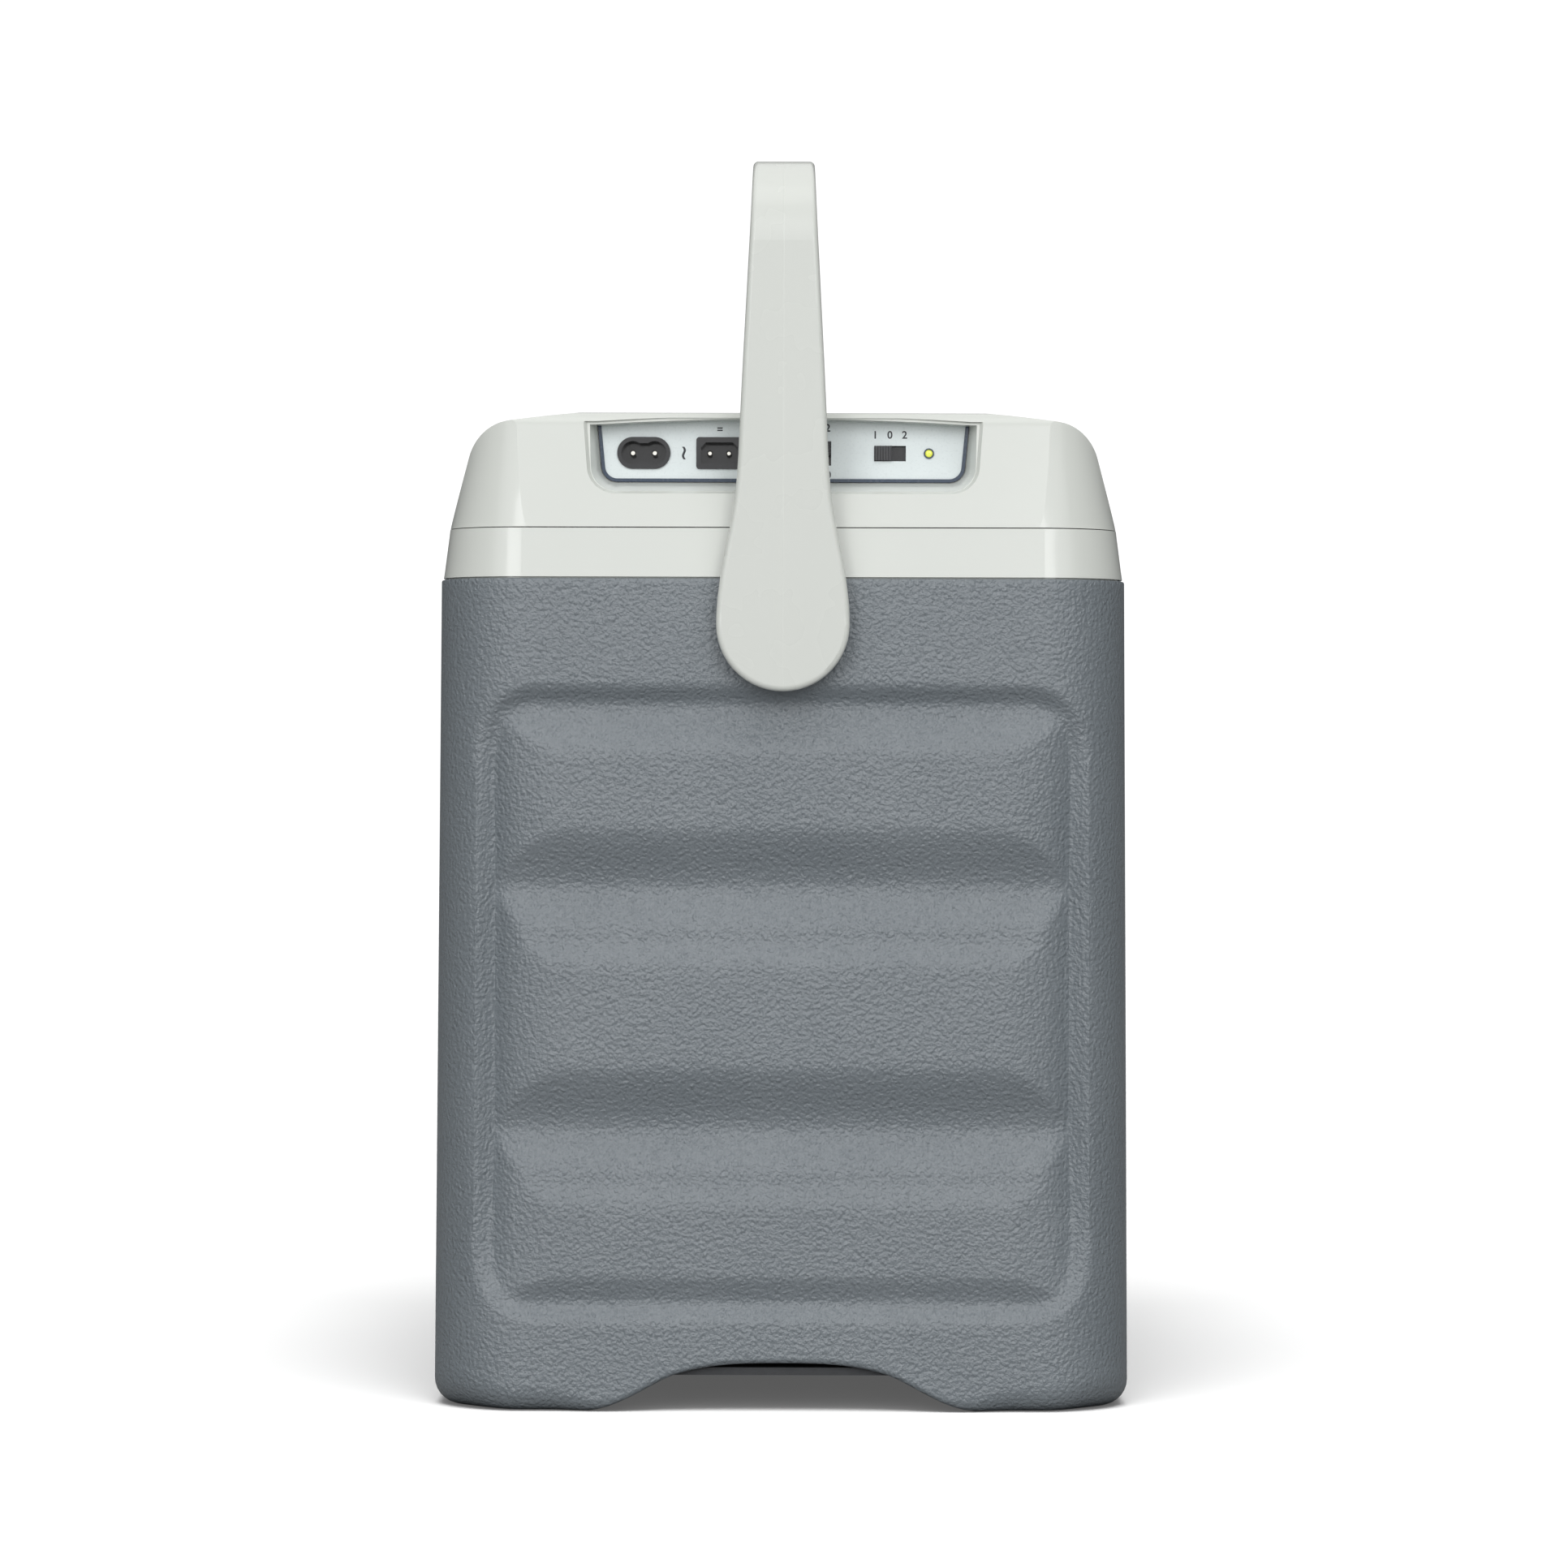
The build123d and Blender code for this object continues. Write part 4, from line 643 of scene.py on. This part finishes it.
# ---- The collar and the badge. A glossy white ring caps the shell and carries the lid; a plain metal
# badge is pressed into the right side of the shell.
WHITE = (0.672, 0.692, 0.650)
WHITE_PALER = (0.688, 0.708, 0.666)
gloss_white = Finish("gloss_white", Coat_Weight=0.25, Coat_Roughness=0.05, IOR=1.46)
gloss_white.feed(
    Base_Color=gloss_white.blend(gloss_white.noise(0.08), WHITE, WHITE_PALER),
    Roughness=gloss_white.noise(0.02).clipped(0.2, 0.8) * 0.05 + 0.16,
    Normal=gloss_white.bump(gloss_white.noise(0.004), 0.00001))
dress(gloss_white.material, "collar")
dress(metal("badge_metal", (0.66, 0.67, 0.68), 0.30, (1, 14, 1)), "badge")

# ---- The handle and its pivots. One bowed glossy white moulding swings on acetal plugs that snap into
# the ends of the shell, with thin acetal washers between.
acetal = moulded("natural_acetal", (0.72, 0.72, 0.68), 0.30, 0.0006, 0.00001)
dress(acetal, "handle_pivot_front", "handle_pivot_rear", "pivot_washer_front", "pivot_washer_rear")
SPLIT_LINE = 0.00035
bail = Finish("handle_white", Coat_Weight=0.2, Coat_Roughness=0.08, IOR=1.46)
across = bail.node("ShaderNodeSeparateXYZ", {}, {0: bail.place})
line = 1 - across.maths("ABSOLUTE", across).clipped(0.0, SPLIT_LINE)
bail_tone = bail.blend(bail.noise(0.07), WHITE, WHITE_PALER)
bail.feed(Base_Color=bail_tone, Roughness=bail.noise(0.02).clipped(0.2, 0.8) * 0.06 + 0.24,
          Normal=bail.bump(bail.noise(0.0008) * 0.06 + line, 0.00003))
dress(bail.material, "handle")

# ---- The lid's underside. A white moulded pan with its foam, a soft rubber seal round it and eight
# screws up into the cover.
dress(moulded("lid_pan_white", LINER_WHITE, 0.34, 0.0010, 0.00004), "lid_base")
dress(foam_finish, "lid_foam")
rubber = moulded("seal_rubber", (0.055, 0.056, 0.058), 0.75, 0.0005, 0.00004)
dress(rubber, "lid_seal", "module_gasket")
dress(steel, "lid_screws", "sink_screws", "grille_screws")

# ---- The cooling unit. A ceramic thermoelectric module between an aluminium spacer and the hot
# fins, cold fins below it, each with a small fan.
aluminium = metal("extruded_aluminium", (0.80, 0.81, 0.82), 0.30, (1, 1, 10))
dress(aluminium, "spacer_block", "hot_heat_sink", "cold_heat_sink")
ceramic = moulded("alumina_ceramic", (0.80, 0.79, 0.76), 0.45, 0.0003, 0.00002)
dress(ceramic, "thermoelectric_module")
black = moulded("black_nylon", (0.020, 0.020, 0.022), 0.42, 0.0007, 0.00004)
dress(black, "hot_fan_frame", "cold_fan_frame", "power_supply")
dress(moulded("fan_black", (0.028, 0.028, 0.030), 0.32, 0.0009, 0.00002), "hot_fan_rotor", "cold_fan_rotor")
dress(liner_white, "cold_grille")

# ---- The lid cover and its grilles. The glossy white domed cover has a fan grille on top and a
# slotted black grille in the rear recess.
dress(gloss_white.material, "lid_cover", "top_grille")
dress(black_and_painted_shade, "rear_grille")

# ---- The control panel. A pale printed plate set back in the front recess behind a navy bezel, with
# generic marks: a wave and an equals sign at the inlets, and numbers at the switches.
PANEL_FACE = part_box("control_panel")[0].y
MARK_DEEP = 0.00005
MARK_BOLD = 0.00008
WAVE_SIZE, MARK_SIZE = 0.0090, 0.0042
MARKS = (("~", -0.0395, 0.3754, WAVE_SIZE, 90), ("=", -0.0250, 0.3846, MARK_SIZE, 0),
         ("2", 0.0175, 0.3853, MARK_SIZE, 0), ("0", 0.0178, 0.3668, MARK_SIZE, 0),
         ("1", 0.0362, 0.3826, MARK_SIZE, 0), ("0", 0.0420, 0.3826, MARK_SIZE, 0),
         ("2", 0.0478, 0.3826, MARK_SIZE, 0))
panel_white = moulded("printed_panel", (0.70, 0.755, 0.76), 0.30, 0.0005, 0.00001, Coat_Weight=0.3)
dress(panel_white, "control_panel")
navy = moulded("navy_bezel", (0.020, 0.040, 0.075), 0.25, 0.0007, 0.00001, Coat_Weight=0.3)
dress(navy, "panel_bezel", "lamp_bezel")
ink = moulded("dark_ink", (0.020, 0.022, 0.028), 0.5, 0.0004, 0.00001)


def printed_marks():
    """Every mark as a thin raised print, in one mesh."""
    work = bmesh.new()
    for text, x, z, size, turn in MARKS:
        curve = bpy.data.curves.new("mark", "FONT")
        curve.body = text
        curve.size = size
        curve.extrude = MARK_DEEP
        curve.offset = MARK_BOLD
        curve.align_x = "CENTER"
        curve.align_y = "CENTER"
        letter = place_piece("mark", curve)
        bpy.context.view_layer.update()
        evaluated = letter.evaluated_get(bpy.context.evaluated_depsgraph_get())
        mesh = bpy.data.meshes.new_from_object(evaluated)
        upright = Matrix.Rotation(math.radians(90), 4, "X") @ Matrix.Rotation(math.radians(turn), 4, "Z")
        mesh.transform(Matrix.Translation((x, PANEL_FACE, z)) @ upright)
        work.from_mesh(mesh)
        bpy.data.objects.remove(letter)
    mesh = bpy.data.meshes.new("panel_marks")
    work.to_mesh(mesh)
    work.free()
    return finish_mesh(place_piece("panel_marks", mesh), 30, 1e-8)


marks = printed_marks()
marks.data.materials.append(ink)
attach(marks, "lid")

# ---- The inlets. Two glossy black sockets, mains and low voltage, with bright nickel pins inside.
glossy_black = moulded("glossy_black", (0.010, 0.010, 0.012), 0.14, 0.0008, 0.00001, Coat_Weight=0.4)
dress(glossy_black, "ac_inlet_housing", "dc_inlet_housing")
nickel = metal("nickel_pins", (0.80, 0.78, 0.72), 0.22, (1, 8, 1))
dress(nickel, "ac_inlet_pins", "dc_inlet_pins")

# ---- The switches. Black slots with dark grey slider caps, ribbed for a fingertip.
RIB_HALF = 0.00022
RIB_PROUD = 0.00030
RIB_STEP = 0.00105
RIB_END = 0.0006
dress(glossy_black, "mode_switch_body", "power_switch_body")
knob_grey = moulded("slider_grey", (0.050, 0.050, 0.054), 0.45, 0.0005, 0.00003)


def rib(name, half_wide, half_tall):
    """A round-topped bar on a flat foot, standing towards the front."""
    section = [(math.cos(turn), math.sin(turn)) for turn in np.linspace(0, math.pi, 9)]
    thin = min(half_wide, half_tall)
    rows = []
    for end, shrink in ((-1, 0.5), (-0.93, 0.9), (-0.8, 1), (0.8, 1), (0.93, 0.9), (1, 0.5)):
        rows.append([(end, across * shrink, rise * shrink) for across, rise in section])
    vertices = []
    for row in rows:
        for end, side, rise in row:
            x, z = end * half_wide, side * thin
            if half_wide < half_tall:
                x, z = side * thin, end * half_tall
            vertices.append((x, -rise * RIB_PROUD, z))
    count = len(section)
    faces = [(ring * count + place, ring * count + place + 1, (ring + 1) * count + place + 1,
              (ring + 1) * count + place) for ring in range(len(rows) - 1) for place in range(count - 1)]
    faces += [((ring + 1) * count, ring * count, ring * count + count - 1, (ring + 1) * count + count - 1)
              for ring in range(len(rows) - 1)]
    faces += [tuple(range(count)), tuple(range((len(rows) - 1) * count, len(rows) * count))]
    mesh = bpy.data.meshes.new(name)
    mesh.from_pydata(vertices, [], faces)
    return finish_mesh(place_piece(name, mesh), 50)


for body, knob, upright in (("mode_knob", "mode_switch_knob", True),
                            ("power_knob", "power_switch_knob", False)):
    dress(knob_grey, knob)
    low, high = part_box(knob)
    middle = (low + high) / 2
    size = high - low
    run = size.x if upright else size.z
    count = int((run - 2 * RIB_STEP) / RIB_STEP) + 1
    steps = [(number - (count - 1) / 2) * RIB_STEP for number in range(count)]
    if upright:
        unit = rib(knob + "_rib", RIB_HALF, size.z / 2 - RIB_END)
        spots = [(middle.x + step, low.y, middle.z) for step in steps]
    else:
        unit = rib(knob + "_rib", size.x / 2 - RIB_END, RIB_HALF)
        spots = [(middle.x, low.y, middle.z + step) for step in steps]
    ribs = repeated(knob + "_ribs", unit, spots, knob_grey)
    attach(ribs, body)

# ---- The lamp, the board and the wiring. A green-yellow lens in a dark ring, on a green board behind
# the panel, with red insulated leads to the module and fans.
lamp = Finish("lamp_lens", Transmission_Weight=0.0, Emission_Strength=0.35, Coat_Weight=0.6)
lamp_shade = lamp.blend(lamp.noise(0.0012).clipped(0.3, 0.7), (0.60, 0.68, 0.05), (0.78, 0.80, 0.12))
lamp.feed(Base_Color=lamp_shade, Emission_Color=lamp_shade, Roughness=lamp.noise(0.001) * 0.1 + 0.08)
dress(lamp.material, "lamp_lens")
board = Finish("solder_mask", Specular_IOR_Level=0.6)
tracks = board.node("ShaderNodeTexVoronoi", {"feature": "DISTANCE_TO_EDGE", "distance": "EUCLIDEAN"},
                    {"Vector": board.place, "Scale": 260.0}, "Distance").clipped(0.03, 0.08)
dress(board.feed(Base_Color=board.blend(tracks, (0.06, 0.24, 0.10), (0.02, 0.13, 0.05)),
                 Roughness=tracks * 0.15 + 0.30, Normal=board.bump(tracks, 0.00003)), "control_board")
dress(moulded("lead_insulation", (0.30, 0.02, 0.02), 0.35, 0.0009, 0.00002), "wiring")
